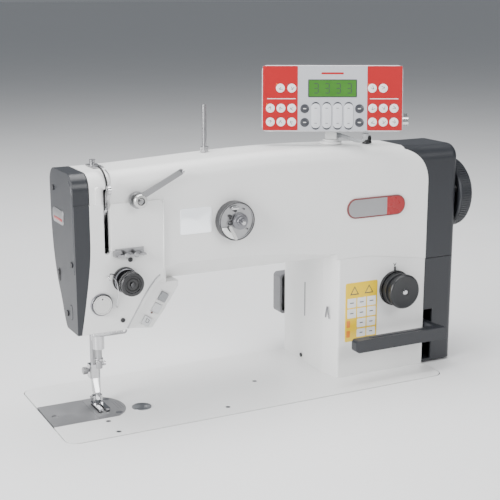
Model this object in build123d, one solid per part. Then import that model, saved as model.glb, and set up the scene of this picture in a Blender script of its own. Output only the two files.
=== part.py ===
from build123d import *
from math import atan2, cos, degrees, pi, radians, sin, tan
import os

# Industrial drop-in lockstitch sewing machine head, as an assembly of separate pieces.
# Frame: millimetres, +X towards the handwheel, +Y to the machine's back, +Z up.
# The origin is on the needle's axis, in the flat bottom of the oil pan.

os.makedirs("parts", exist_ok=True)

# ---- driving dimensions -------------------------------------------------------------
BED_LENGTH = 476.0            # standard flat-bed size
BED_WIDTH = 178.0
BED_TOP = 95.0                # bed surface above the base plane
BED_LEFT = -64.0              # bed's left edge, from the needle
BED_FRONT = -84.5             # bed's front edge, from the needle
BED_THICK = 9.0
PAN_HEIGHT = 45.0
SKIRT_INSET = 8.0
WALL = 6.0                    # castings
SKIN = 3.0                    # moulded covers

ARM_FRONT = -39.5
ARM_BACK = 39.5
PAD_FRONT = -41.0             # raised pad on the head's front
UNDERSIDE = 148.0             # throat height
SHAFT_HEIGHT = 209.0          # main shaft above the bed
HOOK_DEPTH = -33.0            # hook shaft below the bed surface

COVER_LEFT = -36.0            # outer face of the face cover
HEAD_BOTTOM = 101.0
COLUMN_LEFT = 283.0
COLUMN_RIGHT = 411.0
COLUMN_BACK = 93.5
END_RIGHT = 456.0             # outer face of the end covers
SPLIT = 136.0                 # joint between the two end covers

NEEDLE_BAR_R = 3.6
PRESSER_Y = 20.5
PRESSER_BAR_R = 3.25
FOOT_LIFT = 1.6               # sole above the needle plate at rest
RUN_FIT = 0.05                # radial clearance of a shaft in its bush
GAP = 0.3                     # clearance between moving neighbours

MAIN_SHAFT_R = 7.5
HOOK_SHAFT_R = 6.0
UPPER_PULLEY_R = 28.0
LOWER_PULLEY_R = UPPER_PULLEY_R / 2
BELT_X = (364.0, 376.0)

WHEEL_R = 43.0
DIAL_X, DIAL_Z, DIAL_R = 366.5, 104.0, 21.5
WINDER_X, WINDER_Z, WINDER_R = 147.5, 209.5, 21.5
TENSION_X, TENSION_Z = 17.5, 157.0
PRETENSION_X, PRETENSION_Z = 33.0, 242.5
TAKE_UP_Y, TAKE_UP_Z = -18.0, 212.0
LEVER_Y, LEVER_Z = 8.0, 48.0  # reverse lever's pivot

PANEL_YAW = -27.7
PANEL_TILT = -9.0
PANEL_WIDTH, PANEL_HEIGHT, PANEL_DEPTH = 163.0, 76.0, 17.0
POST_X, POST_Y = 296.0, 0.0
PANEL_PIVOT = 306.0           # height of the panel's tilt axis above the bed
STEM_FOOT = 286.2             # lower end of the panel's stem

HINGE_DROP = 12.0             # panel's lower edge below the tilt axis
CASE_BACK = -9.0              # back of the panel's case, in front of the tilt axis
LEAD_R = 2.2

BED_SCREWS = ((-5.5, -41.5), (-5.5, -74.0), (129.0, -63.0), (194.0, -2.0))
BED_SCREW_R = 2.6
HINGE_X = (0.0, 250.0)        # bores for the table's hinges, in the skirt's back wall
HINGE_R = 4.2
PLATE_ARC_X = -12.5           # centre of the plate seat's round right end
PLATE_ARC_R = 40.0
PLATE_HALF = 32.5
PLATE_THICK = 3.0
PLATE_SEAM = -12.0            # joint between the slide plate and the needle plate
PLATE_SCREWS = ((14.0, 22.0), (14.0, -22.0))
FEED_ROWS = ((-4.6, -11.0, 13.0), (4.6, -11.0, 13.0), (0.0, 5.0, 13.0))
FEED_HALF = 1.5

# stations along the arm: x and the height of its top; edge of the slanted face below: x, z
ARM_STATIONS = ((-18, 272.5), (60, 275.0), (200, 281.0), (290, 280.0), (COLUMN_RIGHT, 275.0))
CREASE = ((66, 164.0), (85, 167.0), (168, 166.0), (233, 160.5), (283, 154.5), (336, 147.0), (411, SPLIT))
# back edge of the head in side view: y, z; joint between the face cover and the head: x, z
HEAD_BACK = ((38.5, 210.0), (36.5, 193.0), (30.7, 168.0), (22.6, 148.0), (11.0, 128.5), (-5.0, HEAD_BOTTOM))
JUNCTION = ((-19.0, 200.0), (-20.5, 174.0), (-24.0, 147.0), (-27.5, 124.0), (-31.5, HEAD_BOTTOM))
PIVOT_WEB_X = (-17.0, -9.0)
BULKHEADS = ((28.0, 42.0), (198.0, 212.0), (338.0, 352.0))
REAR_WINDOW = (60.0, 190.0)
BUTTON_X, BUTTON_Z, BUTTON_R = -9.0, 132.5, 10.5
LIFT_X, LIFT_Z = 6.0, 240.0
EYELET_Y, EYELET_Z = -49.0, 256.0
SOLE_PIVOT_Y, SOLE_PIVOT_Z = 11.0, 9.5

# push keys: x, z, width and height; they follow the slanted edge of their housing
KEYS = {
    "thread_key": (62.5, 131.5, 9.0, 10.0),
    "half_stitch_key": (54.5, 119.5, 9.0, 10.0),
    "backtack_key": (42.5, 106.5, 9.5, 10.0),
}
KEY_LEAN = -33.0
KEY_FACE = -38.0

HOOK_Z = BED_TOP + HOOK_DEPTH
BED_RIGHT = BED_LEFT + BED_LENGTH
BED_BACK = BED_FRONT + BED_WIDTH
SKIRT_LEFT, SKIRT_RIGHT = BED_LEFT + SKIRT_INSET, BED_RIGHT - SKIRT_INSET
SKIRT_FRONT, SKIRT_BACK = BED_FRONT + SKIRT_INSET, BED_BACK - SKIRT_INSET


# ---- shape helpers ------------------------------------------------------------------
def up(height):
    """Height above the bed surface, as a height in the part's frame."""
    return BED_TOP + height


def block(x0, x1, y0, y1, z0, z1):
    """A box between two corners."""
    return Pos((x0 + x1) / 2, (y0 + y1) / 2, (z0 + z1) / 2) * Box(x1 - x0, y1 - y0, z1 - z0)


def rod_x(y, z, radius, x0, x1):
    """A cylinder along X."""
    return Pos((x0 + x1) / 2, y, z) * Rot(0, 90, 0) * Cylinder(radius, x1 - x0)


def rod_y(x, z, radius, y0, y1):
    """A cylinder along Y."""
    return Pos(x, (y0 + y1) / 2, z) * Rot(90, 0, 0) * Cylinder(radius, y1 - y0)


def rod_z(x, y, radius, z0, z1):
    """A cylinder along Z."""
    return Pos(x, y, (z0 + z1) / 2) * Cylinder(radius, z1 - z0)


def outline(*points):
    """A flat face inside a closed run of straight edges."""
    return make_face(Polyline(*points, close=True))


def along_x(sketch, x0, x1):
    """A sketch drawn in (y, z), carried from x0 to x1."""
    return extrude(Plane((x0, 0, 0), x_dir=(0, 1, 0), z_dir=(1, 0, 0)) * sketch, amount=x1 - x0)


def along_y(sketch, y0, y1):
    """A sketch drawn in (x, z), carried from y0 to y1."""
    return extrude(Plane((0, y1, 0), x_dir=(1, 0, 0), z_dir=(0, -1, 0)) * sketch, amount=y1 - y0)


def along_z(sketch, z0, z1):
    """A sketch drawn in (x, y), carried from z0 to z1."""
    return extrude(Pos(0, 0, z0) * sketch, amount=z1 - z0)


def rounded(x0, x1, y0, y1, radius):
    """A rounded rectangle between two corners."""
    return Pos((x0 + x1) / 2, (y0 + y1) / 2) * RectangleRounded(x1 - x0, y1 - y0, radius)


def corner_fillet(sketch, spots, radius):
    """Round the sketch's corners nearest to the given spots."""
    chosen = [min(sketch.vertices(), key=lambda v: (v.X - x) ** 2 + (v.Y - y) ** 2) for x, y in spots]
    return fillet(chosen, radius)


def screw(x, y, z, direction, radius=3.5, height=2.0):
    """A slotted screw head that sits on a face and stands out along the given direction."""
    head = Pos(0, 0, height / 2) * Cylinder(radius, height)
    head -= Pos(0, 0, height) * Box(2 * radius + 1, 0.9, 1.6)
    return Plane((x, y, z), z_dir=direction) * head


# ---- bed and oil pan ----------------------------------------------------------------
def plate_recess(margin):
    """Plan of the slide and needle plates' seat: open at the left edge, round at the right."""
    half = PLATE_HALF + margin
    seat = Pos(PLATE_ARC_X, 0) * Circle(PLATE_ARC_R + margin)
    seat &= Pos(PLATE_ARC_X, 0) * Rectangle(200, 2 * half)
    return seat + rounded(BED_LEFT - 20, PLATE_ARC_X + 10, -half, half, 0.5)


def bed_casting():
    """Ribbed bed: a flat top on a deep skirt, with seats for the plates and the hook shaft."""
    top = along_z(rounded(BED_LEFT, BED_RIGHT, BED_FRONT, BED_BACK, 14), BED_TOP - BED_THICK, BED_TOP)
    skirt = rounded(SKIRT_LEFT, SKIRT_RIGHT, SKIRT_FRONT, SKIRT_BACK, 10)
    skirt -= rounded(SKIRT_LEFT + WALL, SKIRT_RIGHT - WALL, SKIRT_FRONT + WALL, SKIRT_BACK - WALL, 5)
    bed = top + along_z(skirt, PAN_HEIGHT, BED_TOP - 1)
    for x0, x1 in ((24, 44), (180, 186), (300, 306), (334, 354)):
        bed += block(x0, x1, SKIRT_FRONT + 2, SKIRT_BACK - 2, up(-26), up(-1))
    for x0, x1 in ((24, 44), (334, 354)):
        bed += block(x0, x1, -16, 16, HOOK_Z - 14, up(-1))
    bed -= rod_x(0, HOOK_Z, 9, 20, 358)
    bed -= along_z(plate_recess(0.15), up(-PLATE_THICK), up(1))
    bed -= along_z(rounded(BED_LEFT + 8, 20, -26.5, 26.5, 3), up(-BED_THICK - 1), up(0))
    bed -= block(358, 382, -19, 19, up(-BED_THICK - 1), up(1))
    for x, y in BED_SCREWS:
        bed -= rod_z(x, y, BED_SCREW_R + 0.4, up(-2.2), up(1))
    for x in HINGE_X:
        bed -= rod_y(x, up(-24), HINGE_R, SKIRT_BACK - WALL - 3, SKIRT_BACK + 1)
    return bed


def oil_pan():
    """Pressed pan under the bed: it catches the oil and is what the head stands on."""
    outer = along_z(rounded(SKIRT_LEFT, SKIRT_RIGHT, SKIRT_FRONT, SKIRT_BACK, 10), 0, PAN_HEIGHT)
    inner = rounded(SKIRT_LEFT + 4, SKIRT_RIGHT - 4, SKIRT_FRONT + 4, SKIRT_BACK - 4, 7)
    pan = outer - along_z(inner, 4, PAN_HEIGHT + 1)
    return fillet(pan.faces().sort_by(Axis.Z)[0].edges(), 3)


def needle_plate():
    """Steel plate round the needle, with the needle hole and three slots for the feed dog."""
    plan = plate_recess(0) & rounded(PLATE_SEAM + 0.1, 60, -60, 60, 0.2)
    plate = along_z(plan, up(-PLATE_THICK), up(0))
    plate -= rod_z(0, 0, 1.5, up(-4), up(1))
    for x, y0, y1 in FEED_ROWS:
        slot = rounded(x - FEED_HALF - 0.5, x + FEED_HALF + 0.5, y0 - 3.2, y1 + 3.2, 0.6)
        plate -= along_z(slot, up(-4), up(1))
    for x, y in PLATE_SCREWS:
        plate -= rod_z(x, y, 3.9, up(-1.9), up(1))
    return plate


def slide_plate():
    """Cover over the hook: it slides out to the left to reach the bobbin."""
    plan = rounded(BED_LEFT + 0.5, PLATE_SEAM - 0.1, -PLATE_HALF, PLATE_HALF, 1.5)
    plate = along_z(plan, up(-PLATE_THICK), up(0))
    return plate - rod_z(-53.5, -2.5, 4.0, up(-1.6), up(1))


def bed_disc_cover():
    """Round press-in cover in the bed, beside the needle plate, with a small oil hole."""
    disc = along_z(Pos(42.0, -19.0) * Circle(11.0), up(0), up(0.8))
    return disc - rod_z(46.5, -20.0, 1.6, up(-1), up(1))


def bed_screws():
    """Plug screws of the bed and screws of the needle plate: slotted, sunk in their seats."""
    screws = [screw(x, y, up(-2.2), (0, 0, 1), BED_SCREW_R, 2.0) for x, y in BED_SCREWS]
    screws += [screw(x, y, up(-1.9), (0, 0, 1), 3.6, 1.8) for x, y in PLATE_SCREWS]
    return Compound(children=screws)


# ---- arm, head and column castings --------------------------------------------------
def arm_section(x, top):
    """Cross-section of the arm: square below, well rounded above."""
    low, high = up(UNDERSIDE), up(top)
    shape = outline((ARM_FRONT, low), (ARM_BACK, low), (ARM_BACK, high), (ARM_FRONT, high))
    shape = corner_fillet(shape, ((ARM_FRONT, up(top)), (ARM_BACK, up(top))), 17)
    return Plane((x, 0, 0), x_dir=(0, 1, 0), z_dir=(1, 0, 0)) * shape


def head_outline(inset=0.0):
    """Side view of the head in (y, z): upright in front, cut away below at the back."""
    back = [(y - inset, up(z)) for y, z in HEAD_BACK[:-1]]
    low = up(HEAD_BOTTOM) + inset
    front = ARM_FRONT + inset
    top = up(272.5) - inset
    rear = ARM_BACK - inset
    toe = HEAD_BACK[-1][0] - inset
    edge = Spline((rear, up(232)), *back, (toe, low), tangents=((0, -1), (-1, -0.9)))
    rest = Polyline((toe, low), (front, low), (front, top), (rear, top), (rear, up(232)))
    shape = make_face([edge, rest])
    return corner_fillet(shape, ((front, top), (rear, top)), 17 - inset)


def white_side():
    """Everything to the right of the line where the face cover meets the head."""
    curve = Spline(*[(x, up(z)) for x, z in JUNCTION], tangents=((0, -1), (-0.18, -1)))
    x_low = JUNCTION[-1][0]
    rest = Polyline(
        (x_low, up(HEAD_BOTTOM)), (x_low, up(60)), (120, up(60)), (120, up(320)), (-19, up(320)),
        (-19, up(200)),
    )
    return along_y(make_face([curve, rest]), -80, 80)


def head_body():
    """Left part of the casting, down to the needle bar's bush."""
    front_view = outline(
        (COVER_LEFT, up(HEAD_BOTTOM)), (22, up(HEAD_BOTTOM)), (53, up(UNDERSIDE)), (66, up(UNDERSIDE)),
        (66, up(240)), (COVER_LEFT, up(240)),
    )
    head = along_x(head_outline(), COVER_LEFT, 66) & along_y(front_view, -60, 60)
    pad_view = outline(
        (COVER_LEFT, up(HEAD_BOTTOM)), (22, up(HEAD_BOTTOM)), (53, up(UNDERSIDE)), (63.5, up(155)),
        (63.5, up(240)), (COVER_LEFT, up(240)),
    )
    pad_view = corner_fillet(pad_view, ((63.5, up(240)),), 6)
    return head + along_y(pad_view, PAD_FRONT, ARM_FRONT + 1)


def column_body():
    """The upright behind the dial, with a slight facet at its front left."""
    plan = outline(
        (COLUMN_LEFT + 4, ARM_FRONT + 0.8), (COLUMN_RIGHT, ARM_FRONT + 0.8), (COLUMN_RIGHT, COLUMN_BACK),
        (COLUMN_LEFT, COLUMN_BACK), (COLUMN_LEFT, 40), (COLUMN_LEFT - 1.5, -12),
    )
    plan = corner_fillet(plan, ((COLUMN_LEFT + 4, ARM_FRONT),), 3)
    plan = corner_fillet(plan, ((COLUMN_LEFT, COLUMN_BACK),), 10)
    return along_z(plan, up(0), up(235)) & along_x(column_side(), COLUMN_LEFT - 5, COLUMN_RIGHT)


def column_side(inset=0.0):
    """Side view of the column in (y, z): its back leans in to meet the arm."""
    return outline(
        (ARM_FRONT + inset, up(0)), (COLUMN_BACK - inset, up(0)), (COLUMN_BACK - inset, up(150) - inset / 2),
        (ARM_BACK - inset, up(225) - inset / 2), (ARM_FRONT + inset, up(225) - inset / 2),
    )


def end_corner():
    """Space outside the curve where the dark end cover wraps over the arm's end."""
    curve = CenterArc((COLUMN_RIGHT - 42, up(232)), 42, 0, 75)
    start, finish = curve @ 0, curve @ 1
    rest = Polyline(
        (finish.X, finish.Y), (finish.X, up(320)), (COLUMN_RIGHT + 60, up(320)), (COLUMN_RIGHT + 60, up(232)),
        (start.X, start.Y),
    )
    return along_y(make_face([curve, rest]), -60, 60)


def crease_wedge():
    """What the slanted face under the arm's front edge cuts away."""
    sections = []
    for x, z in CREASE[:5]:
        corner = outline((ARM_FRONT - 3, up(z)), (ARM_FRONT, up(z)), (ARM_FRONT + 18, up(UNDERSIDE)),
                         (ARM_FRONT + 18, up(UNDERSIDE - 4)), (ARM_FRONT - 3, up(UNDERSIDE - 4)))
        sections.append(Plane((x, 0, 0), x_dir=(0, 1, 0), z_dir=(1, 0, 0)) * corner)
    return loft([section.face() for section in sections], ruled=True)


def arm_casting():
    """Arm, head and column in one hollow casting, painted, with bulkheads for the main shaft."""
    body = loft([arm_section(x, top).face() for x, top in ARM_STATIONS])
    body -= crease_wedge()
    body += head_body()
    body += column_body()
    lip = outline(*[(x, up(z)) for x, z in CREASE[4:]], (COLUMN_RIGHT, up(165)), (COLUMN_LEFT, up(165)))
    body += along_y(lip, ARM_FRONT, ARM_FRONT + 8)
    body &= white_side() + block(100, COLUMN_RIGHT, -80, 120, up(0), up(320))
    body -= end_corner()
    shaft_z = up(SHAFT_HEIGHT)
    cavity = along_x(head_outline(WALL), -60, BULKHEADS[0][0])
    cavity &= block(-60, BULKHEADS[0][0], -60, 60, up(HEAD_BOTTOM + WALL), up(266))
    cavity -= block(16, 60, -60, 60, up(0), up(152))
    right_wall = COLUMN_RIGHT - WALL
    ends = [x for bulkhead in BULKHEADS for x in bulkhead][1:] + [right_wall]
    for x0, x1 in zip(ends[::2], ends[1::2]):
        cavity += block(x0, x1, ARM_FRONT + WALL, ARM_BACK - WALL, up(170), up(264))
    front, back = ARM_FRONT + WALL, ARM_BACK - WALL
    cavity += block(312, right_wall, front + 2, COLUMN_BACK - WALL, up(-1), up(146))
    cavity += block(BULKHEADS[2][1], right_wall, front, back, up(140), up(175))
    cavity += block(right_wall - 1, COLUMN_RIGHT + 1, front, back, up(172), up(228))
    body -= cavity
    body += block(*PIVOT_WEB_X, ARM_FRONT + 2, ARM_BACK - 2, up(TAKE_UP_Z - 9), up(TAKE_UP_Z + 9))
    body += rod_x(TAKE_UP_Y, up(TAKE_UP_Z), 4.0, PIVOT_WEB_X[1] - 1, 3.5)
    body -= rod_x(0, shaft_z, MAIN_SHAFT_R + 3.5, 20, 360)
    body -= block(-4, 4, PAD_FRONT - 1, ARM_FRONT + WALL + 1, up(190), up(252))
    for z in (190, 252):
        body -= rod_y(0, up(z), 4.0, PAD_FRONT - 1, ARM_FRONT + WALL + 1)
    body -= rod_z(0, 0, 6.5, up(60), up(150))
    body -= rod_z(0, PRESSER_Y, 6.0, up(60), up(170))
    body -= block(REAR_WINDOW[0], REAR_WINDOW[1], ARM_BACK - WALL - 1, ARM_BACK + 1, up(178), up(256))
    body += rod_y(BUTTON_X, up(BUTTON_Z), BUTTON_R + 1.2, PAD_FRONT - 1.5, PAD_FRONT)
    body -= rod_y(BUTTON_X, up(BUTTON_Z), BUTTON_R + GAP, PAD_FRONT - 5, PAD_FRONT + 2.5)
    body -= rod_x(LEVER_Y, up(LEVER_Z), 5.0 + RUN_FIT, COLUMN_RIGHT - WALL - 1, COLUMN_RIGHT + 1)
    body -= rod_y(LIFT_X, up(LIFT_Z), 4.0 + RUN_FIT, ARM_BACK - WALL - 4, ARM_BACK + 2)
    return body


def face_cover():
    """Dark moulded cover round the head's left end."""
    cover = along_x(head_outline(), COVER_LEFT, 10) - white_side()
    lip = rounded(COVER_LEFT, -15, up(HEAD_BOTTOM), up(240), 0.5)
    cover += along_y(lip, PAD_FRONT, ARM_FRONT + 1) - white_side()
    cover -= along_x(head_outline(SKIN), COVER_LEFT + SKIN, 30)
    return cover


def cover_screws():
    """Slotted screws that hold the face, rear and end covers and the head's front fittings."""
    spots = ((18, 158), (-8, 118), (28, 250), (-28, 176))
    screws = [screw(COVER_LEFT, y, up(z), (-1, 0, 0), 3.2, 1.2) for y, z in spots]
    for x, z in ((66, 184), (66, 250), (184, 184), (184, 250)):
        screws.append(screw(x, ARM_BACK + 2.5, up(z), (0, 1, 0), 3.4, 1.8))
    screws += [screw(x, PAD_FRONT, up(z), (0, -1, 0), 2.6, 1.0) for x, z in ((24.6, 178), (14.4, 112))]
    screws += [screw(END_RIGHT, 20, up(z), (1, 0, 0), 3.2, 1.5) for z in (30, 110, 160, 256)]
    return Compound(children=screws)


def rear_cover():
    """Flat plate over the window in the arm's back."""
    return along_y(rounded(54, 196, up(172), up(262), 6), ARM_BACK, ARM_BACK + 2.5)


def rear_connector_cover():
    """Box on the column's back that covers the plugs of the drive."""
    box = along_y(rounded(280, 398, up(47), up(100), 5), COLUMN_BACK, COLUMN_BACK + 18)
    box -= along_y(rounded(283, 395, up(50), up(97), 3), COLUMN_BACK - 1, COLUMN_BACK + 15)
    for x in (300, 330, 360):
        box -= block(x, x + 16, COLUMN_BACK + 2, COLUMN_BACK + 12, up(46), up(51))
    return box


# ---- right end ----------------------------------------------------------------------
def end_outline(low, high, inset=0.0):
    """Side view of the end covers in (y, z), between two heights."""
    top = up(275) - inset
    shape = outline(
        (ARM_FRONT + inset, up(0)), (COLUMN_BACK - inset, up(0)), (COLUMN_BACK - inset, up(150) - inset / 2),
        (ARM_BACK - inset, up(225) - inset / 2), (ARM_BACK - inset, top), (ARM_FRONT + inset, top),
    )
    shape = corner_fillet(shape, ((ARM_FRONT, top), (ARM_BACK, top)), 17 - inset)
    return shape & rounded(-100, 150, up(low), up(high), 0.01)


def end_cover_upper():
    """Dark cover over the motor, which wraps over the arm's top corner."""
    tail = loft([arm_section(x, top).face() for x, top in ARM_STATIONS]) & end_corner()
    shell = along_x(end_outline(SPLIT, 300), COLUMN_RIGHT, END_RIGHT)
    rim = shell.faces().sort_by(Axis.X)[-1].edges()
    shell = fillet(rim.filter_by(lambda edge: edge.center().Z > up(SPLIT) + 1), 9)
    cover = shell + tail
    cover -= along_x(end_outline(SPLIT - 5, 300, SKIN), COLUMN_RIGHT, END_RIGHT - SKIN)
    return cover - rod_x(0, up(SHAFT_HEIGHT), MAIN_SHAFT_R + 4, END_RIGHT - 10, END_RIGHT + 1)


def end_cover_lower():
    """Dark cover below the split, with the notch that the reverse lever works in."""
    cover = along_x(end_outline(2, SPLIT - 0.6), COLUMN_RIGHT, END_RIGHT)
    right = cover.faces().sort_by(Axis.X)[-1].edges()
    cover = fillet(right.filter_by(Axis.Z), 9)
    inside = end_outline(-5, SPLIT + 5, SKIN) & rounded(-100, 150, up(2 + SKIN), up(200), 0.01)
    cover -= along_x(inside, COLUMN_RIGHT - 1, END_RIGHT - SKIN)
    notch = block(COLUMN_RIGHT - 1, COLUMN_RIGHT + 13, ARM_FRONT - 1, ARM_FRONT + SKIN + 1, up(5), up(70))
    return cover - notch


def main_shaft():
    """Main shaft and its toothed belt pulley."""
    shaft = rod_x(0, up(SHAFT_HEIGHT), MAIN_SHAFT_R, 8, 474)
    pulley = rod_x(0, up(SHAFT_HEIGHT), UPPER_PULLEY_R, *BELT_X)
    for x in (BELT_X[0] - 2, BELT_X[1]):
        pulley += rod_x(0, up(SHAFT_HEIGHT), UPPER_PULLEY_R + 3, x, x + 2)
    pulley -= rod_x(0, up(SHAFT_HEIGHT), MAIN_SHAFT_R, 340, 400)
    return Compound(children=[shaft, pulley])


def crank_counterweight():
    """Crank at the shaft's left end: a weighted half disc and the pin that drives the needle bar."""
    z = up(SHAFT_HEIGHT)
    disc = rod_x(0, z, 25, 10, 24)
    disc -= block(9, 25, 8, 30, z, z + 30)
    disc -= block(9, 25, -30, -8, z, z + 30)
    disc -= rod_x(0, z, MAIN_SHAFT_R, 0, 30)
    return disc + rod_x(0, z + 15.35, 4.5, 5.5, 11)


def motor_rotor():
    """Magnet rotor on the main shaft."""
    rotor = rod_x(0, up(SHAFT_HEIGHT), 20, 416, 446)
    return rotor - rod_x(0, up(SHAFT_HEIGHT), MAIN_SHAFT_R, 400, 460)


def motor_stator():
    """Laminated stator round the rotor, with its end windings."""
    z = up(SHAFT_HEIGHT)
    ring = rod_x(0, z, 33, 418, 444) - rod_x(0, z, 20.6, 400, 460)
    for x0, x1 in ((413, 418), (444, 449)):
        winding = rod_x(0, z, 30, x0, x1) - rod_x(0, z, 22, x0 - 1, x1 + 1)
        ring += winding
    return ring


def handwheel():
    """Handwheel with a rounded rim, five lightening holes and a finger groove."""
    z = up(SHAFT_HEIGHT)
    profile = outline((457, 6), (457, 15), (462, 20), (462, 34), (458.5, 37), (458.5, 41.5), (460, WHEEL_R),
                      (475, WHEEL_R), (478, 40), (478, 36), (470, 33), (470, 18), (476, 14), (476, 6))
    wheel = Pos(0, 0, z) * revolve(Plane.XZ * profile, Axis.X)
    for turn in range(5):
        angle = radians(72 * turn + 20)
        wheel -= rod_x(26.5 * cos(angle), z + 26.5 * sin(angle), 4.5, 455, 480)
    return wheel - rod_x(0, z, MAIN_SHAFT_R, 450, 480)


def timing_belt():
    """Toothed belt from the main shaft down to the hook shaft."""
    low, high = HOOK_Z, up(SHAFT_HEIGHT)
    lean = atan2(UPPER_PULLEY_R - LOWER_PULLEY_R, high - low)

    def loop(grow):
        top_r, low_r = UPPER_PULLEY_R + grow, LOWER_PULLEY_R + grow
        side = [(r * cos(lean), z - r * sin(lean)) for r, z in ((top_r, high), (low_r, low))]
        straight = outline(side[0], side[1], (-side[1][0], side[1][1]), (-side[0][0], side[0][1]))
        return straight + Pos(0, high) * Circle(top_r) + Pos(0, low) * Circle(low_r)

    return along_x(loop(GAP + 1.8) - loop(GAP), BELT_X[0] + 0.5, BELT_X[1] - 0.5)


def hook_shaft():
    """Hook shaft under the bed and its small belt pulley."""
    shaft = rod_x(0, HOOK_Z, HOOK_SHAFT_R, -1, 382)
    pulley = rod_x(0, HOOK_Z, LOWER_PULLEY_R, *BELT_X) - rod_x(0, HOOK_Z, HOOK_SHAFT_R, 340, 400)
    return Compound(children=[shaft, pulley])


def rotary_hook():
    """Rotary hook: a cup that carries the hook's point round the bobbin case."""
    cup = rod_x(0, HOOK_Z, 16, -24, -2) - rod_x(0, HOOK_Z, 14.4, -25, -6)
    cup -= rod_x(0, HOOK_Z, HOOK_SHAFT_R, -10, 0)
    cup -= block(-19, -9, 2, 20, HOOK_Z + 2, HOOK_Z + 20)
    point = rod_x(0, HOOK_Z, 16, -19, -16) & block(-19, -16, 4, 20, HOOK_Z + 4, HOOK_Z + 20)
    return cup + point - rod_x(0, HOOK_Z, 14.4, -25, -6)


def bobbin_case():
    """Steel case that holds the bobbin still inside the hook."""
    case = rod_x(0, HOOK_Z, 14.0, -24, -8.5) - rod_x(0, HOOK_Z, 11.3, -30, -10)
    return case + block(-24, -20, -2.5, 2.5, HOOK_Z + 13.5, HOOK_Z + 13.8)


def bobbin():
    """Bobbin: two flanges on a drum."""
    spool = rod_x(0, HOOK_Z, 5, -20, -11)
    for x in (-20, -12):
        spool += rod_x(0, HOOK_Z, 10.8, x, x + 1)
    return spool - rod_x(0, HOOK_Z, 3.1, -25, -5)


def shaft_bushes():
    """Bronze bushes of the main shaft and of the hook shaft."""
    z = up(SHAFT_HEIGHT)
    bushes = [rod_x(0, z, MAIN_SHAFT_R + 3.5, x0, x1) - rod_x(0, z, MAIN_SHAFT_R + RUN_FIT, x0 - 1, x1 + 1)
              for x0, x1 in BULKHEADS]
    for x0, x1 in ((24, 44), (334, 354)):
        bushes.append(rod_x(0, HOOK_Z, 9, x0, x1) - rod_x(0, HOOK_Z, HOOK_SHAFT_R + RUN_FIT, x0 - 1, x1 + 1))
    return Compound(children=bushes)


# ---- needle bar, take-up and presser foot -------------------------------------------
def bar_bushes():
    """Bushes of the needle bar and the presser bar, pressed into the head from below."""
    bushes = []
    sizes = ((0, 6.5, NEEDLE_BAR_R, 70, 128), (PRESSER_Y, 6.0, PRESSER_BAR_R, 96, 150))
    for y, outer, inner, z0, z1 in sizes:
        hole = rod_z(0, y, inner + RUN_FIT, up(z0 - 1), up(z1 + 1))
        bushes.append(rod_z(0, y, outer, up(z0), up(z1)) - hole)
    return Compound(children=bushes)


def needle_bar():
    """Ground steel needle bar."""
    bar = rod_z(0, 0, NEEDLE_BAR_R, up(47), up(196))
    return bar - rod_z(0, 0, 0.85, up(46), up(60)) - rod_x(0, up(52), 1.5, 0, 6)


def needle_clamp():
    """Needle clamp screw and the small thread guide at the bar's lower end."""
    clamp = rod_x(0, up(52), 1.5, 1.0, 4.6) + rod_x(0, up(52), 2.6, 4.2, 7.2)
    guide = rod_z(0, 0, NEEDLE_BAR_R + 1.1, up(56.5), up(58.5)) - rod_z(0, 0, NEEDLE_BAR_R, up(50), up(60))
    return Compound(children=[clamp, guide])


def needle():
    """Sewing needle: shank, blade with its eye, and point."""
    shank = rod_z(0, 0, 0.84, up(36), up(59.5))
    blade = rod_z(0, 0, 0.55, up(17), up(36))
    point = Pos(0, 0, up(14.5)) * Cone(0.08, 0.55, 5)
    return shank + blade + point - rod_y(0, up(20), 0.22, -2, 2)


def take_up_lever():
    """Thread take-up lever: a flat steel arm with an eyelet, which works in the head's slot."""
    angle = atan2(EYELET_Z - TAKE_UP_Z, TAKE_UP_Y - EYELET_Y)
    length = (EYELET_Z - TAKE_UP_Z) / sin(angle)
    side = [(0, 5.5), (length, 3.2), (length, -3.2), (0, -5.5)]
    arm = outline(*side) + Circle(7.0) + Pos(length, 0) * Circle(4.6)
    arm -= Circle(4.0 + RUN_FIT) + Pos(length + 0.6, 0) * Circle(1.7)
    arm = Pos(TAKE_UP_Y, up(TAKE_UP_Z)) * Rot(0, 0, 180 - degrees(angle)) * arm
    return along_x(arm, -1.6, 1.6)


def presser_bar():
    """Presser bar, spring-loaded from above."""
    return rod_z(0, PRESSER_Y, PRESSER_BAR_R, up(34), up(190))


def presser_shank():
    """Shank that clamps to the presser bar and reaches forward over the sole."""
    low = up(SOLE_PIVOT_Z)
    sleeve = block(-5.5, 5.5, PRESSER_Y - 5.2, PRESSER_Y + 5.2, up(30), up(46))
    sleeve -= rod_z(0, PRESSER_Y, PRESSER_BAR_R, up(34), up(60))
    side = outline(
        (PRESSER_Y - 4, up(31)), (PRESSER_Y + 3, up(31)), (PRESSER_Y - 1, low + 4),
        (SOLE_PIVOT_Y + 3.4, low - 3), (SOLE_PIVOT_Y - 3.4, low - 3), (SOLE_PIVOT_Y - 3.4, low + 6),
    )
    leg = along_x(side, -2.6, 2.6)
    return sleeve + leg - rod_x(SOLE_PIVOT_Y, low, 1.25, -10, 10)


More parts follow.
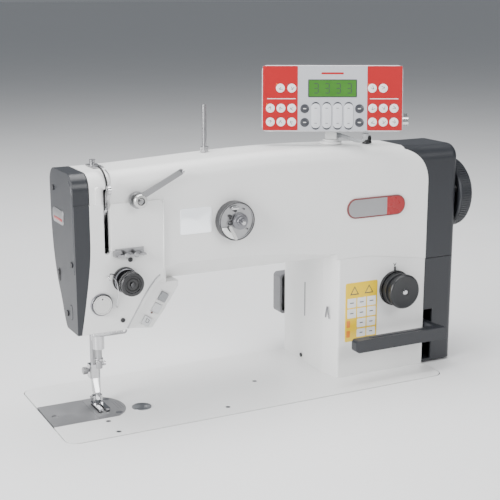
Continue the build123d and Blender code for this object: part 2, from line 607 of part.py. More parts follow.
def presser_sole():
    """Hinged sole with two toes, its ears and its hinge pin."""
    base = FOOT_LIFT
    plan = rounded(-6.5, 6.5, -15, 17, 2.5) - rounded(-1.6, 1.6, -18, 4, 0.8)
    sole = along_z(plan, up(base), up(base + 1.8))
    for x in (-5.4, 3.0):
        ear = outline((SOLE_PIVOT_Y - 4, up(base + 1)), (SOLE_PIVOT_Y + 4, up(base + 1)),
                      (SOLE_PIVOT_Y + 3, up(SOLE_PIVOT_Z + 2.4)), (SOLE_PIVOT_Y - 3, up(SOLE_PIVOT_Z + 2.4)))
        sole += along_x(ear, x, x + 2.4)
    return sole + rod_x(SOLE_PIVOT_Y, up(SOLE_PIVOT_Z), 1.2, -5.8, 5.8)


def presser_thumb_screw():
    """Knurled screw that clamps the shank to the presser bar."""
    return rod_x(PRESSER_Y, up(39), 4.0, -12.5, -7.5) + rod_x(PRESSER_Y, up(39), 2.2, -7.6, -5.5)


def presser_lift_lever():
    """Hand lever at the head's back that lifts the presser foot."""
    lever = rod_y(LIFT_X, up(LIFT_Z), 8.5, ARM_BACK + 0.6, ARM_BACK + 8)
    lever += rod_y(LIFT_X, up(LIFT_Z), 4.0, ARM_BACK - WALL - 2, ARM_BACK + 2)
    arm = outline((LIFT_X - 6.5, up(LIFT_Z)), (LIFT_X + 6.5, up(LIFT_Z)), (LIFT_X + 5, up(LIFT_Z - 52)),
                  (LIFT_X - 5, up(LIFT_Z - 52)))
    arm = corner_fillet(arm, ((LIFT_X + 5, up(LIFT_Z - 52)), (LIFT_X - 5, up(LIFT_Z - 52))), 4)
    return lever + along_y(arm, ARM_BACK + 3, ARM_BACK + 8)


def feed_dog():
    """Feed dog: three toothed rows on one plate, under the needle plate."""
    top = up(-0.4)
    dog = block(-7.5, 7.5, -12, 14, up(-8.5), up(-5.6)) - rod_z(0, 0, 3.0, up(-20), up(0))
    for x, y0, y1 in FEED_ROWS:
        row = block(x - FEED_HALF, x + FEED_HALF, y0, y1, up(-6), top)
        for step in range(int((y1 - y0) / 1.6)):
            y = y0 + 0.8 + 1.6 * step
            notch = outline((y - 0.7, top + 0.1), (y + 0.7, top + 0.1), (y, top - 0.9))
            row -= along_x(notch, x - 3, x + 3)
        dog += row
    return dog


def feed_bar():
    """Bar that carries the feed dog from the feed shafts in the bed."""
    bar = block(2.5, 19.5, 3, 12, up(-13.5), up(-9.2)) + block(2.5, 7.5, -10, 12, up(-13.5), up(-9.2))
    return bar + rod_x(7.5, up(-12.0), 1.5, 19, 23.5)


# ---- thread path --------------------------------------------------------------------
def tension_unit():
    """Base, stem, discs and spring of the thread tension."""
    z = up(TENSION_Z)
    base = rod_y(TENSION_X, z, 13.5, PAD_FRONT - 4, PAD_FRONT)
    base += rod_y(TENSION_X, z, 3.0, PAD_FRONT - 27, PAD_FRONT)
    discs = []
    for near in (4.5, 7.0):
        disc = rod_y(TENSION_X, z, 12.5, PAD_FRONT - near - 1.0, PAD_FRONT - near)
        discs.append(disc - rod_y(TENSION_X, z, 3.0, PAD_FRONT - 40, PAD_FRONT))
    spring = rod_y(TENSION_X, z, 6.0, PAD_FRONT - 16.5, PAD_FRONT - 8.2)
    spring -= rod_y(TENSION_X, z, 4.4, PAD_FRONT - 40, PAD_FRONT)
    return Compound(children=[base, *discs, spring])


def tension_knob():
    """Large knurled nut that sets the thread tension."""
    z = up(TENSION_Z)
    knob = rod_y(TENSION_X, z, 13.0, PAD_FRONT - 26, PAD_FRONT - 17)
    return knob - rod_y(TENSION_X, z, 3.0 + RUN_FIT, PAD_FRONT - 30, PAD_FRONT)


def pretension_knob():
    """Small nut of the pretension discs."""
    z = up(PRETENSION_Z)
    knob = rod_y(PRETENSION_X, z, 7.5, PAD_FRONT - 15, PAD_FRONT - 10)
    return knob - rod_y(PRETENSION_X, z, 2.0 + RUN_FIT, PAD_FRONT - 30, PAD_FRONT)


def wire(points, radii, radius):
    """Bent round wire."""
    path = FilletPolyline(*points, radius=radii)
    return sweep(Plane(path @ 0, z_dir=path % 0) * Circle(radius), path=path)


def thread_guides():
    """Fixed thread guides of the head: pretension, comb, top bracket and the wire below."""
    z = up(PRETENSION_Z)
    pretension = rod_y(PRETENSION_X, z, 8.5, PAD_FRONT - 3, PAD_FRONT)
    pretension += rod_y(PRETENSION_X, z, 2.0, PAD_FRONT - 16.5, PAD_FRONT)
    strip = Pos(PRETENSION_X, z) * Rot(0, 0, 27) * rounded(4, 60, -3.2, 3.2, 2.5)
    pretension += along_y(strip, PAD_FRONT - 3, PAD_FRONT - 1.7)
    for near in (3.6, 5.4):
        pretension += rod_y(PRETENSION_X, z, 9.0, PAD_FRONT - near - 0.9, PAD_FRONT - near)
    comb = block(8, 40, PAD_FRONT - 9, PAD_FRONT, up(183.5), up(185.5))
    comb += block(8, 40, PAD_FRONT - 1.2, PAD_FRONT, up(182), up(191))
    for x in (14, 24, 34):
        comb -= rod_z(x, PAD_FRONT - 5.5, 1.8, up(180), up(190))
    stud = rod_z(4, 12, 3.4, up(274.4), up(280))
    strap = block(-2, 10, -8, 18, up(273.2), up(274.6)) - rod_z(4, -4, 1.8, up(270), up(280))
    low = up(95)
    route = [(-10, -33, up(HEAD_BOTTOM)), (-10, -33, low), (21, -33, low), (21, -33, up(HEAD_BOTTOM))]
    low_wire = wire(route, [2.4, 2.4], 1.0)
    return Compound(children=[pretension, comb, stud + strap, low_wire])


def thread_post():
    """Thread guide post on the arm's top: a slim pin with an eye, in a hexagon nut."""
    x, y = 137.0, 12.0
    base = up(279.5)
    nut = along_z(Pos(x, y) * RegularPolygon(5.0, 6), base, base + 6)
    pin = rod_z(x, y, 2.6, base, up(333)) - rod_x(y, up(306), 1.2, x - 5, x + 5)
    return nut + pin


def winder_housing():
    """Round housing of the bobbin winder on the arm's front."""
    z = WINDER_Z
    housing = rod_y(WINDER_X, up(z), WINDER_R, ARM_FRONT - 11, ARM_FRONT)
    housing -= rod_y(WINDER_X, up(z), WINDER_R - 2, ARM_FRONT - 12, ARM_FRONT - 9.5)
    housing -= rod_y(WINDER_X + 3, up(z), 3.0 + RUN_FIT, ARM_FRONT - 20, ARM_FRONT - 2)
    housing -= rod_y(WINDER_X - 9, up(z - 7), 1.5 + RUN_FIT, ARM_FRONT - 20, ARM_FRONT - 4)
    return housing - rod_y(WINDER_X - 9, up(z + 4), 2.4, ARM_FRONT - 20, ARM_FRONT - 7)


def winder_spindle():
    """Spindle that the bobbin is pushed on to be wound."""
    x, z = WINDER_X + 3, up(WINDER_Z)
    spindle = rod_y(x, z, 3.0, ARM_FRONT - 22, ARM_FRONT - 3)
    spindle += rod_y(x, z, 9.0, ARM_FRONT - 12.5, ARM_FRONT - 10)
    return spindle - rod_y(x, z, 1.0, ARM_FRONT - 24, ARM_FRONT - 16)


def winder_lever():
    """Finger that starts the winder and lets go when the bobbin is full."""
    x, z = WINDER_X - 9, up(WINDER_Z - 7)
    lever = rod_y(x, z, 1.5, ARM_FRONT - 13, ARM_FRONT - 5)
    finger = Pos(x, z) * Rot(0, 0, -62) * rounded(-3, 15, -1.8, 1.8, 1.7)
    return lever + along_y(finger, ARM_FRONT - 14, ARM_FRONT - 11.4)


# ---- front fittings -----------------------------------------------------------------
def label_plates():
    """Blank plates on the front: glossy label, round-ended badge and a label on the column."""
    glossy = along_y(rounded(84, 121, up(198.5), up(226.5), 3), ARM_FRONT - 0.6, ARM_FRONT)
    badge = along_y(rounded(296, 377, up(195.5), up(219.5), 11.9), ARM_FRONT - 2.0, ARM_FRONT)
    label = along_y(rounded(297, 342, up(44), up(117), 2), ARM_FRONT + 0.4, ARM_FRONT + 0.8)
    side = along_x(rounded(-14, 27, up(216), up(229), 4), COVER_LEFT - 0.6, COVER_LEFT)
    return Compound(children=[glossy, badge, label, side])


def dial_ring():
    """Fixed ring behind the stitch-length dial, with the index mark."""
    front, z = ARM_FRONT + 0.8, up(DIAL_Z)
    ring = rod_y(DIAL_X, z, DIAL_R, front - 4, front)
    ring -= rod_y(DIAL_X, z, 6.0 + RUN_FIT, front - 9, front + 1)
    return ring + block(DIAL_X - 1, DIAL_X + 1, front - 1.2, front, z + DIAL_R - 0.5, z + DIAL_R + 5)


def stitch_dial():
    """Stitch-length dial: knurled skirt, waist and a flat cap."""
    front = ARM_FRONT + 0.8
    dial = rod_y(DIAL_X, up(DIAL_Z), DIAL_R - 1.5, front - 12, front - 4.4)
    dial += rod_y(DIAL_X, up(DIAL_Z), DIAL_R - 3.5, front - 19, front - 11)
    dial += rod_y(DIAL_X, up(DIAL_Z), DIAL_R - 1.0, front - 24, front - 18)
    dial += rod_y(DIAL_X, up(DIAL_Z), 6.0, front - 6, front)
    return dial + rod_y(DIAL_X, up(DIAL_Z), 3.5, front - 25, front - 23)


def reverse_lever():
    """Reverse-feed lever: a flat handle across the column's front, on an arm and a cross shaft."""
    z = up(LEVER_Z)
    handle_front, handle_back = -73.0, -61.0
    handle = along_y(rounded(293, 423, z - 7.5, z + 7.5, 4), handle_front, handle_back)
    handle -= along_z(outline((280, -80), (309, -80), (280, -64)), z - 20, z + 20)
    arm = along_x(rounded(handle_back - 4, LEVER_Y + 8, z - 6, z + 6, 5), COLUMN_RIGHT + 2, COLUMN_RIGHT + 10)
    arm += rod_x(LEVER_Y, z, 9.5, COLUMN_RIGHT + 1, COLUMN_RIGHT + 12)
    return handle + arm + rod_x(LEVER_Y, z, 5.0, COLUMN_RIGHT - 12, COLUMN_RIGHT + 14)


def key_housing():
    """White housing under the arm, beside the head, with sockets for three push keys."""
    front_view = outline((23.5, up(HEAD_BOTTOM)), (49, up(98)), (65, up(118)), (81, up(142)), (81, up(147.6)),
                         (53.2, up(147.6)))
    housing = along_y(front_view, KEY_FACE, -4)
    for x, z, wide, tall in KEYS.values():
        socket = Pos(x, up(z)) * Rot(0, 0, KEY_LEAN) * RectangleRounded(wide + 2 * GAP, tall + 2 * GAP, 1.8)
        housing -= along_y(socket, KEY_FACE - 1, KEY_FACE + 6)
    return housing


def push_key(x, z, wide, tall):
    """Square push key, guided in its socket."""
    face = Pos(x, up(z)) * Rot(0, 0, KEY_LEAN) * RectangleRounded(wide, tall, 1.5)
    return along_y(face, KEY_FACE - 2.5, KEY_FACE + 4.5)


def status_led():
    """Indicator lamp between the keys."""
    return rod_y(56.5, up(110.3), 1.2, KEY_FACE - 0.8, KEY_FACE)


def quick_button():
    """Round metal push button at the head's lower left."""
    return rod_y(BUTTON_X, up(BUTTON_Z), BUTTON_R, PAD_FRONT - 4.0, PAD_FRONT + 0.8)


# ---- control panel ------------------------------------------------------------------
def at_panel(shape, tilted=True):
    """Carry a shape from the panel's own frame, with its tilt axis along X, to its place."""
    turn = Rot(0, 0, PANEL_YAW)
    if tilted:
        turn *= Rot(PANEL_TILT, 0, 0)
    return Pos(POST_X, POST_Y, up(PANEL_PIVOT)) * turn * shape


def panel_case():
    """Control panel: a shallow moulded case with hinge ears at its lower back."""
    low, high = -HINGE_DROP, PANEL_HEIGHT - HINGE_DROP
    half = PANEL_WIDTH / 2
    case = along_y(rounded(-half, half, low, high, 6), CASE_BACK - PANEL_DEPTH, CASE_BACK)
    case = fillet(case.faces().sort_by(Axis.Y)[0].edges(), 2.0)
    for x in (-16.5, 11.5):
        ear = rounded(CASE_BACK - 2, 6.5, -6.5, 6.5, 6.0)
        case += along_x(ear, x, x + 5)
    case -= rod_x(0, 0, 3.0 + RUN_FIT, -30, 30)
    return at_panel(case)


def panel_yoke():
    """Swivelling stem that carries the panel, with its knuckle and tilt pin."""
    stem = block(-6.5, 6.5, -6.5, 6.5, STEM_FOOT - PANEL_PIVOT, -4)
    knuckle = along_x(Circle(6.2), -11, 11)
    pin = rod_x(0, 0, 3.0, -16.4, 16.4)
    return at_panel(stem + knuckle + pin, tilted=False)


def panel_post():
    """Round foot on the arm's top that the panel's stem turns on."""
    return rod_z(POST_X, POST_Y, 13, up(280.6), up(283.4)) + rod_z(POST_X, POST_Y, 9, up(283), up(285.9))


def panel_clamp_knob():
    """Knob with a finger tab at the panel's right side, which locks the tilt."""
    half = PANEL_WIDTH / 2
    mid = CASE_BACK - PANEL_DEPTH / 2
    knob = rod_x(mid, 0, 5.0, half + 0.3, half + 7)
    knob += block(half + 2, half + 6, mid - 2, mid + 2, 0, 9)
    return at_panel(knob)


def lead_points():
    """Route of the panel's lead, from the stem's side down and up into the panel's case."""
    spots = (
        (6.5, 0.0, -16.0), (14.0, 0.0, -16.0), (24.5, -5.0, -20.0), (34.0, -12.0, -21.5),
        (39.0, -16.5, -18.0), (39.5, -17.5, -HINGE_DROP - 0.7),
    )
    place = Pos(POST_X, POST_Y, up(PANEL_PIVOT)) * Rot(0, 0, PANEL_YAW)
    return [(place * Pos(*spot)).position for spot in spots]


def lead_radii(points):
    """Arc at each corner: as large as its two runs allow."""
    radii = []
    for before, corner, after in zip(points, points[1:], points[2:]):
        turn = radians((corner - before).get_angle(after - corner))
        shorter = min((corner - before).length, (after - corner).length)
        radii.append(0.45 * shorter / tan(turn / 2))
    return radii


def panel_lead():
    """Grey lead from the stem into the panel."""
    points = lead_points()
    radii = lead_radii(points)
    print("lead arc radii, mm:", [round(radius, 1) for radius in radii])
    path = FilletPolyline(*points, radius=radii)
    lead = sweep(Plane(path @ 0, z_dir=path % 0) * Circle(LEAD_R), path=path)
    print("lead length, mm:", round(path.length, 1))
    print("lead volume over section, mm:", round(lead.volume / (pi * LEAD_R**2), 1))
    return lead


def oil_plug():
    """Knurled filler plug on the arm's top."""
    x, y = 343.0, -6.0
    plug = rod_z(x, y, 5.0, up(279.0), up(287.5)) + rod_z(x, y, 6.0, up(278.9), up(280.5))
    return plug


# ---- assembly -----------------------------------------------------------------------
PIECES = (
    bed_casting, oil_pan, needle_plate, slide_plate, bed_disc_cover, bed_screws, arm_casting,
    face_cover, cover_screws, rear_cover, rear_connector_cover, end_cover_upper, end_cover_lower,
    main_shaft, crank_counterweight, motor_rotor, motor_stator, handwheel, timing_belt, hook_shaft,
    rotary_hook, bobbin_case, bobbin, shaft_bushes, bar_bushes, needle_bar, needle_clamp, needle,
    take_up_lever, presser_bar, presser_shank, presser_sole, presser_thumb_screw, presser_lift_lever,
    feed_dog, feed_bar, tension_unit, tension_knob, pretension_knob, thread_guides, thread_post,
    winder_housing, winder_spindle, winder_lever, label_plates, dial_ring, stitch_dial, reverse_lever,
    key_housing, status_led, quick_button, panel_case, panel_yoke, panel_post, panel_clamp_knob,
    panel_lead, oil_plug,
)

for make in PIECES:
    export_step(make(), f"parts/{make.__name__}.step")
for node, sizes in KEYS.items():
    export_step(push_key(*sizes), f"parts/{node}.step")
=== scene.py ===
from math import cos, pi, radians, sin

import bmesh
import bpy
from mathutils import Matrix, Vector


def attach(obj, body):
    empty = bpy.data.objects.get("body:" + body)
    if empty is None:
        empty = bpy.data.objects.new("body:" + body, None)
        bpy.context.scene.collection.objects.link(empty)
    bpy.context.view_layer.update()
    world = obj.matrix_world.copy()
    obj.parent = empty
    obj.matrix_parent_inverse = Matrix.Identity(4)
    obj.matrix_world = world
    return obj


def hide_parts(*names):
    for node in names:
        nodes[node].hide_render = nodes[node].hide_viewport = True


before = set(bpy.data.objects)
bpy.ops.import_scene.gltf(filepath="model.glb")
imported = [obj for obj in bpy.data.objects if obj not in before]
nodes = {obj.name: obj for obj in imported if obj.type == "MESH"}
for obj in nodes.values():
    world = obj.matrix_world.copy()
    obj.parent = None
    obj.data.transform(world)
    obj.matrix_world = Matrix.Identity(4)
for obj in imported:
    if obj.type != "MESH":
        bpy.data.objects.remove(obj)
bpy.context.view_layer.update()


# ---- studio ---------------------------------------------------------------------------
# A plain pale floor at the height of the bed's surface, open under the bed, because the
# head is dropped into a flat top. Large soft lamps above, at the left and in front.
MM = 0.001
BED_TOP = 95.0
FLOOR_HEIGHT = 94.4
BED_LEFT, BED_RIGHT, BED_FRONT, BED_BACK = -64.0, 412.0, -84.5, 93.5
BED_CENTRE = ((BED_LEFT + BED_RIGHT) / 2, (BED_FRONT + BED_BACK) / 2)
OPENING_GAP, OPENING_CORNER, OPENING_DEPTH = 2.4, 15.0, 60.0
FLOOR_REACH = 90000.0


def own(name, data):
    """An object with the given data, linked to the scene."""
    made = bpy.data.objects.new(name, data)
    bpy.context.scene.collection.objects.link(made)
    return made


def pill(x, y, width, height, radius, steps=7):
    """Outline of a rounded rectangle round a centre, in millimetres."""
    points = []
    for corner, (sx, sy) in enumerate(((1, 1), (-1, 1), (-1, -1), (1, -1))):
        for step in range(steps + 1):
            angle = radians(90 * corner + 90 * step / steps)
            points.append((x + sx * (width / 2 - radius) + radius * cos(angle),
                           y + sy * (height / 2 - radius) + radius * sin(angle)))
    return points


camera = own("camera", bpy.data.cameras.new("camera"))
camera.data.sensor_width = 36.0
camera.data.lens = 79.2
camera.location = (-0.37819, -1.11357, 0.55471)
camera.rotation_euler = (radians(90 - 13.401), 0.0, radians(-26.983))
bpy.context.scene.camera = camera


class Value:
    """A socket of a material's tree, with the arithmetic that the finishes use."""

    def __init__(self, finish, socket):
        self.finish, self.socket = finish, socket

    def math(self, operation, a, b):
        return self.finish.node("ShaderNodeMath", {"operation": operation}, {0: a, 1: b})

    def __add__(self, other):
        return self.math("ADD", self, other)

    def __mul__(self, other):
        return self.math("MULTIPLY", self, other)

    __radd__ = __add__
    __rmul__ = __mul__


class Finish:
    """One material's tree. node() adds any node; its settings are made before its sockets."""

    def __init__(self, name):
        self.material = bpy.data.materials.new(name)
        self.material.use_nodes = True
        self.tree = self.material.node_tree
        self.tree.nodes.clear()
        self.place = self.node("ShaderNodeTexCoord", out="Object")

    def node(self, kind, settings=None, sockets=None, out=0):
        made = self.tree.nodes.new(kind)
        for key, value in (settings or {}).items():
            setattr(made, key, value)
        for key, value in (sockets or {}).items():
            if isinstance(value, Value):
                self.tree.links.new(value.socket, made.inputs[key])
            else:
                made.inputs[key].default_value = value
        return Value(self, made.outputs[out])

    def stretched(self, x, y, z):
        """The place on the piece, scaled along each axis: for grain that runs one way."""
        return self.node("ShaderNodeMapping", {}, {"Vector": self.place, "Scale": (x, y, z)})

    def noise(self, scale, detail=3.0, rough=0.55, place=None):
        sockets = {"Vector": place or self.place, "Scale": scale, "Detail": detail, "Roughness": rough}
        return self.node("ShaderNodeTexNoise", {}, sockets)

    def blend(self, amount, low, high):
        """A colour between two, by an amount from 0 to 1."""
        return self.node("ShaderNodeMix", {"data_type": "RGBA"},
                         {0: amount, 6: (*low, 1.0) if isinstance(low, tuple) else low,
                          7: (*high, 1.0) if isinstance(high, tuple) else high}, out=2)

    def bump(self, height, distance, strength=1.0, under=None):
        sockets = {"Height": height, "Distance": distance, "Strength": strength}
        if under:
            sockets["Normal"] = under
        return self.node("ShaderNodeBump", {}, sockets)

    def soft_edge(self, radius):
        """A rounded-over edge: castings and mouldings have no sharp ones."""
        return self.node("ShaderNodeBevel", {"samples": 4}, {"Radius": radius})

    def close(self, **sockets):
        """The surface shader and the output; socket names are written with underscores."""
        shader = self.tree.nodes.new("ShaderNodeBsdfPrincipled")
        for key, value in sockets.items():
            socket = shader.inputs[key.replace("_", " ")]
            if isinstance(value, Value):
                self.tree.links.new(value.socket, socket)
            elif isinstance(value, tuple):
                socket.default_value = (*value, 1.0)
            else:
                socket.default_value = value
        output = self.tree.nodes.new("ShaderNodeOutputMaterial")
        self.tree.links.new(shader.outputs[0], output.inputs[0])
        return self.material


def floor_top():
    """Pale matt top with a faint mottle."""
    look = Finish("floor_top")
    mottle = look.noise(6.0)
    return look.close(Base_Color=look.blend(mottle, (0.82, 0.82, 0.82), (0.86, 0.86, 0.86)),
                      Roughness=0.5 + 0.06 * mottle)


def floor_with_opening():
    """A wide plane with a rounded opening for the bed, and the opening's edge."""
    mesh = bmesh.new()
    inner = pill(*BED_CENTRE, BED_RIGHT - BED_LEFT + OPENING_GAP, BED_BACK - BED_FRONT + OPENING_GAP,
                 OPENING_CORNER)
    count = len(inner)
    outer = []
    for x, y in inner:
        dx, dy = x - BED_CENTRE[0], y - BED_CENTRE[1]
        grow = FLOOR_REACH / max(abs(dx), abs(dy))
        outer.append((dx * grow, dy * grow))
    levels = ((outer, FLOOR_HEIGHT), (inner, FLOOR_HEIGHT), (inner, FLOOR_HEIGHT - OPENING_DEPTH))
    rings = [[mesh.verts.new((x * MM, y * MM, z * MM)) for x, y in points] for points, z in levels]
    for low, high in zip(rings, rings[1:]):
        for i in range(count):
            j = (i + 1) % count
            mesh.faces.new((low[i], low[j], high[j], high[i]))
    bmesh.ops.recalc_face_normals(mesh, faces=mesh.faces)
    data = bpy.data.meshes.new("floor")
    mesh.to_mesh(data)
    mesh.free()
    data.materials.append(floor_top())
    return own("floor", data)


floor = floor_with_opening()


def lamp(name, place, target, size, power):
    """A square soft lamp that looks at a point."""
    light = bpy.data.lights.new(name, "AREA")
    light.shape = "RECTANGLE"
    light.size, light.size_y = size
    light.energy = power
    made = own(name, light)
    made.location = place
    made.rotation_euler = (Vector(target) - Vector(place)).to_track_quat("-Z", "Y").to_euler()


lamp("lamp_above", (0.1, 0.25, 2.1), (0.2, 0.0, 0.2), (2.2, 1.8), 78.0)
lamp("lamp_left", (-1.9, -0.5, 0.95), (0.1, 0.0, 0.25), (0.9, 1.3), 66.0)
lamp("lamp_front", (0.9, -2.2, 1.5), (0.2, 0.0, 0.2), (1.6, 1.0), 36.0)
world = bpy.data.worlds.new("room")
world.use_nodes = True
world.node_tree.nodes["Background"].inputs["Color"].default_value = (0.50, 0.53, 0.57, 1.0)
world.node_tree.nodes["Background"].inputs["Strength"].default_value = 0.42
bpy.context.scene.world = world


# ---- panel lead -----------------------------------------------------------------------
# Short grey lead from the stem's side, down in one loose bow and up into the panel's case.
# A soft jacket over stranded wires. Its two moulded sleeves follow with the control panel.
POST = (296.0, 0.0, 401.0)
PANEL_YAW, PANEL_TILT = -27.7, -9.0
LEAD_RADIUS, LEAD_LENGTH = 2.2, 43.9
LEAD_SPOTS = ((6.5, 0.0, -16.0), (14.0, 0.0, -16.0), (24.5, -5.0, -20.0), (34.0, -12.0, -21.5),
              (39.0, -16.5, -18.0), (39.5, -17.5, -12.7))
STEM = Matrix.Translation(Vector(POST) * MM) @ Matrix.Rotation(radians(PANEL_YAW), 4, "Z")
PANEL = STEM @ Matrix.Rotation(radians(PANEL_TILT), 4, "X")


def moulded(name, colour, rough=0.45, grain=0.00002, soft=0.0004, coat=0.0):
    """Moulded plastic: a fine spark grain, and a slight drift in shade and gloss."""
    look = Finish(name)
    drift = look.noise(35.0, 4.0)
    darker = tuple(0.86 * part for part in colour)
    return look.close(Base_Color=look.blend(drift, darker, colour), Roughness=rough - 0.06 + 0.12 * drift,
                      Normal=look.bump(look.noise(2600.0, 2.0), grain, 0.8, look.soft_edge(soft)),
                      Coat_Weight=coat, Coat_Roughness=0.2)


lead_jacket = moulded("lead_jacket", (0.36, 0.37, 0.38), 0.5, 0.00003, 0.0002)
lead_points = [STEM @ (Vector(spot) * MM) for spot in LEAD_SPOTS]
lead_line = bpy.data.curves.new("panel_lead_line", "CURVE")
lead_line.dimensions = "3D"
lead_line.bevel_depth = LEAD_RADIUS * MM
lead_line.bevel_resolution = 6
lead_line.use_fill_caps = True
lead_line.resolution_u = 14
strand = lead_line.splines.new("NURBS")
strand.points.add(len(lead_points) - 1)
for point, spot in zip(strand.points, lead_points):
    point.co = (*spot, 1.0)
strand.order_u = 3
strand.use_endpoint_u = True
lead_line.materials.append(lead_jacket)
lead = own("panel_lead_flex", lead_line)
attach(lead, "panel_yoke")
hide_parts("panel_lead")


# ---- bed and oil pan ------------------------------------------------------------------
# The bed is a ribbed iron casting, sprayed white; the steel plates over the hook are ground
# along their length and drop into seats. The pressed pan below is in grey enamel.
def dress(material, *names):
    """Give CAD nodes a finish."""
    for name in names:
        for slot in nodes[name].material_slots:
            slot.material = material


def enamel(name, colour, texture, rough=0.36, soft=0.0009):
    """Sprayed enamel on a casting: orange peel, a fine structure and faint unevenness."""
    look = Finish(name)
    drift = look.noise(14.0, 4.0)
    peel = look.noise(420.0, 2.0)
    spray = look.noise(1500.0, 3.0, 0.7)
    under = look.bump(peel, 0.00005 * texture, 0.6, look.soft_edge(soft))
    shade = look.blend(drift, tuple(0.95 * part for part in colour), colour)
    return look.close(Base_Color=look.blend(0.35 * spray, shade, tuple(0.9 * part for part in colour)),
                      Roughness=rough + 0.10 * spray + 0.05 * drift,
                      Normal=look.bump(spray, 0.00004 * texture, 0.8, under),
                      Coat_Weight=0.15, Coat_Roughness=0.25)


def ground(name, colour, along, rough=0.3, soft=0.0002, depth=1.0, grain=0.45):
    """Ground steel: fine lines that run one way, with small stains."""
    look = Finish(name)
    scale = {"x": (60, 2600, 2600), "y": (2600, 60, 2600), "z": (2600, 2600, 60)}[along]
    lines = look.noise(1.0, 3.0, 0.7, look.stretched(*scale))
    stain = look.noise(90.0, 5.0, 0.65)
    worn = tuple(0.78 * part for part in colour)
    return look.close(Base_Color=look.blend(0.5 * lines + 0.5 * stain, worn, colour), Metallic=1.0,
                      Roughness=rough + 0.16 * lines + 0.06 * stain, Anisotropic=grain,
                      Normal=look.bump(lines, 0.000012 * depth, 0.9, look.soft_edge(soft)))


bed_enamel = enamel("bed_enamel", (0.86, 0.86, 0.855), 0.5, 0.33)
pan_enamel = enamel("pan_enamel", (0.44, 0.46, 0.48), 0.6, 0.4)
plate_steel = ground("plate_steel", (0.42, 0.42, 0.43), "x", 0.42, grain=0.1)
turned_steel = ground("turned_steel", (0.28, 0.28, 0.30), "y", 0.28)
# Black steel for screws, springs and marks; the same black is also painted shade in holes, slots and the
# winder's recess.
black_steel = moulded("black_steel", (0.035, 0.035, 0.038), 0.35)
dress(bed_enamel, "bed_casting")
dress(pan_enamel, "oil_pan")
dress(plate_steel, "needle_plate", "slide_plate")
dress(ground("disc_steel", (0.46, 0.47, 0.49), "z", 0.26), "bed_disc_cover")
dress(turned_steel, "bed_screws")


def facing(origin, right, upward):
    """Place of a face: right and upward lie in it, and its third axis stands out of it."""
    across, rise = Vector(right).normalized(), Vector(upward).normalized()
    turn = Matrix((across, rise, across.cross(rise))).transposed().to_4x4()
    return Matrix.Translation(Vector(origin) * MM) @ turn


def front_at(y, x=0.0, z=0.0):
    return facing((x, y, z), (1, 0, 0), (0, 0, 1))


def left_at(x, y=0.0, z=0.0):
    return facing((x, y, z), (0, -1, 0), (0, 0, 1))


def slab(mesh, place, points, low, high, edge=0.0, finish=0):
    """A flat piece with the given outline, from low to high off a face, its outer edge rounded."""
    rings = [[mesh.verts.new(place @ (Vector((u, v, w)) * MM)) for u, v in points] for w in (low, high)]
    faces = [mesh.faces.new(rings[0][::-1]), mesh.faces.new(rings[1])]
    for i in range(len(points)):
        j = (i + 1) % len(points)
        faces.append(mesh.faces.new((rings[0][i], rings[0][j], rings[1][j], rings[1][i])))
    for face in faces:
        face.material_index = finish
    if edge:
        bmesh.ops.bevel(mesh, geom=list(faces[1].edges), offset=edge * MM, segments=3, affect="EDGES",
                        profile=0.5, clamp_overlap=True, material=-1)


def lathe(mesh, place, profile, finish=0, turns=72):
    """A turned shape about a face's outward axis, through (radius, height) points."""
    rings = []
    for radius, height in profile:
        if radius < 0.001:
            rings.append([mesh.verts.new(place @ (Vector((0, 0, height)) * MM))])
            continue
        angles = [2 * pi * i / turns for i in range(turns)]
        rings.append([mesh.verts.new(place @ (Vector((radius * cos(a), radius * sin(a), height)) * MM))
                      for a in angles])
    for low, high in zip(rings, rings[1:]):
        for i in range(turns):
            j = (i + 1) % turns
            corners = [low[i % len(low)], low[j % len(low)], high[j % len(high)], high[i % len(high)]]
            mesh.faces.new(list(dict.fromkeys(corners))).material_index = finish


def wire(mesh, points, radius, finish=0, sides=12):
    """Round wire through points of the part's frame, closed at its ends."""
    spots = [Vector(point) for point in points]
    side = None
    rings = []
    for i, spot in enumerate(spots):
        ahead = (spots[min(i + 1, len(spots) - 1)] - spots[max(i - 1, 0)]).normalized()
        side = ahead.orthogonal() if side is None else side - ahead * side.dot(ahead)
        side.normalize()
        other = ahead.cross(side)
        angles = [2 * pi * k / sides for k in range(sides)]
        rings.append([mesh.verts.new((spot + radius * (side * cos(a) + other * sin(a))) * MM)
                      for a in angles])
    for low, high in zip(rings, rings[1:]):
        for k in range(sides):
            m = (k + 1) % sides
            mesh.faces.new((low[k], low[m], high[m], high[k])).material_index = finish
    for ring in (rings[0], rings[-1]):
        mesh.faces.new(ring).material_index = finish


def coil(place, radius, low, high, turns, steps=16):
    """Points of a coil about a face's outward axis, in the part's frame."""
    total = int(turns * steps)
    points = []
    for i in range(total + 1):
        angle = 2 * pi * i / steps
        height = low + (high - low) * i / total
        points.append((place @ (Vector((radius * cos(angle), radius * sin(angle), height)) * MM)) / MM)
    return points


def smooth(corners, steps=6):
    """Points of a soft line through the corners of a bent wire."""
    spots = [Vector(c) for c in corners]
    spots = [2 * spots[0] - spots[1], *spots, 2 * spots[-1] - spots[-2]]
    points = []
    for a, b, c, d in zip(spots, spots[1:], spots[2:], spots[3:]):
        for i in range(steps):
            t = i / steps
            points.append(0.5 * (2 * b + (c - a) * t + (2 * a - 5 * b + 4 * c - d) * t * t
                                 + (3 * b - a - 3 * c + d) * t * t * t))
    return [*points, spots[-2]]


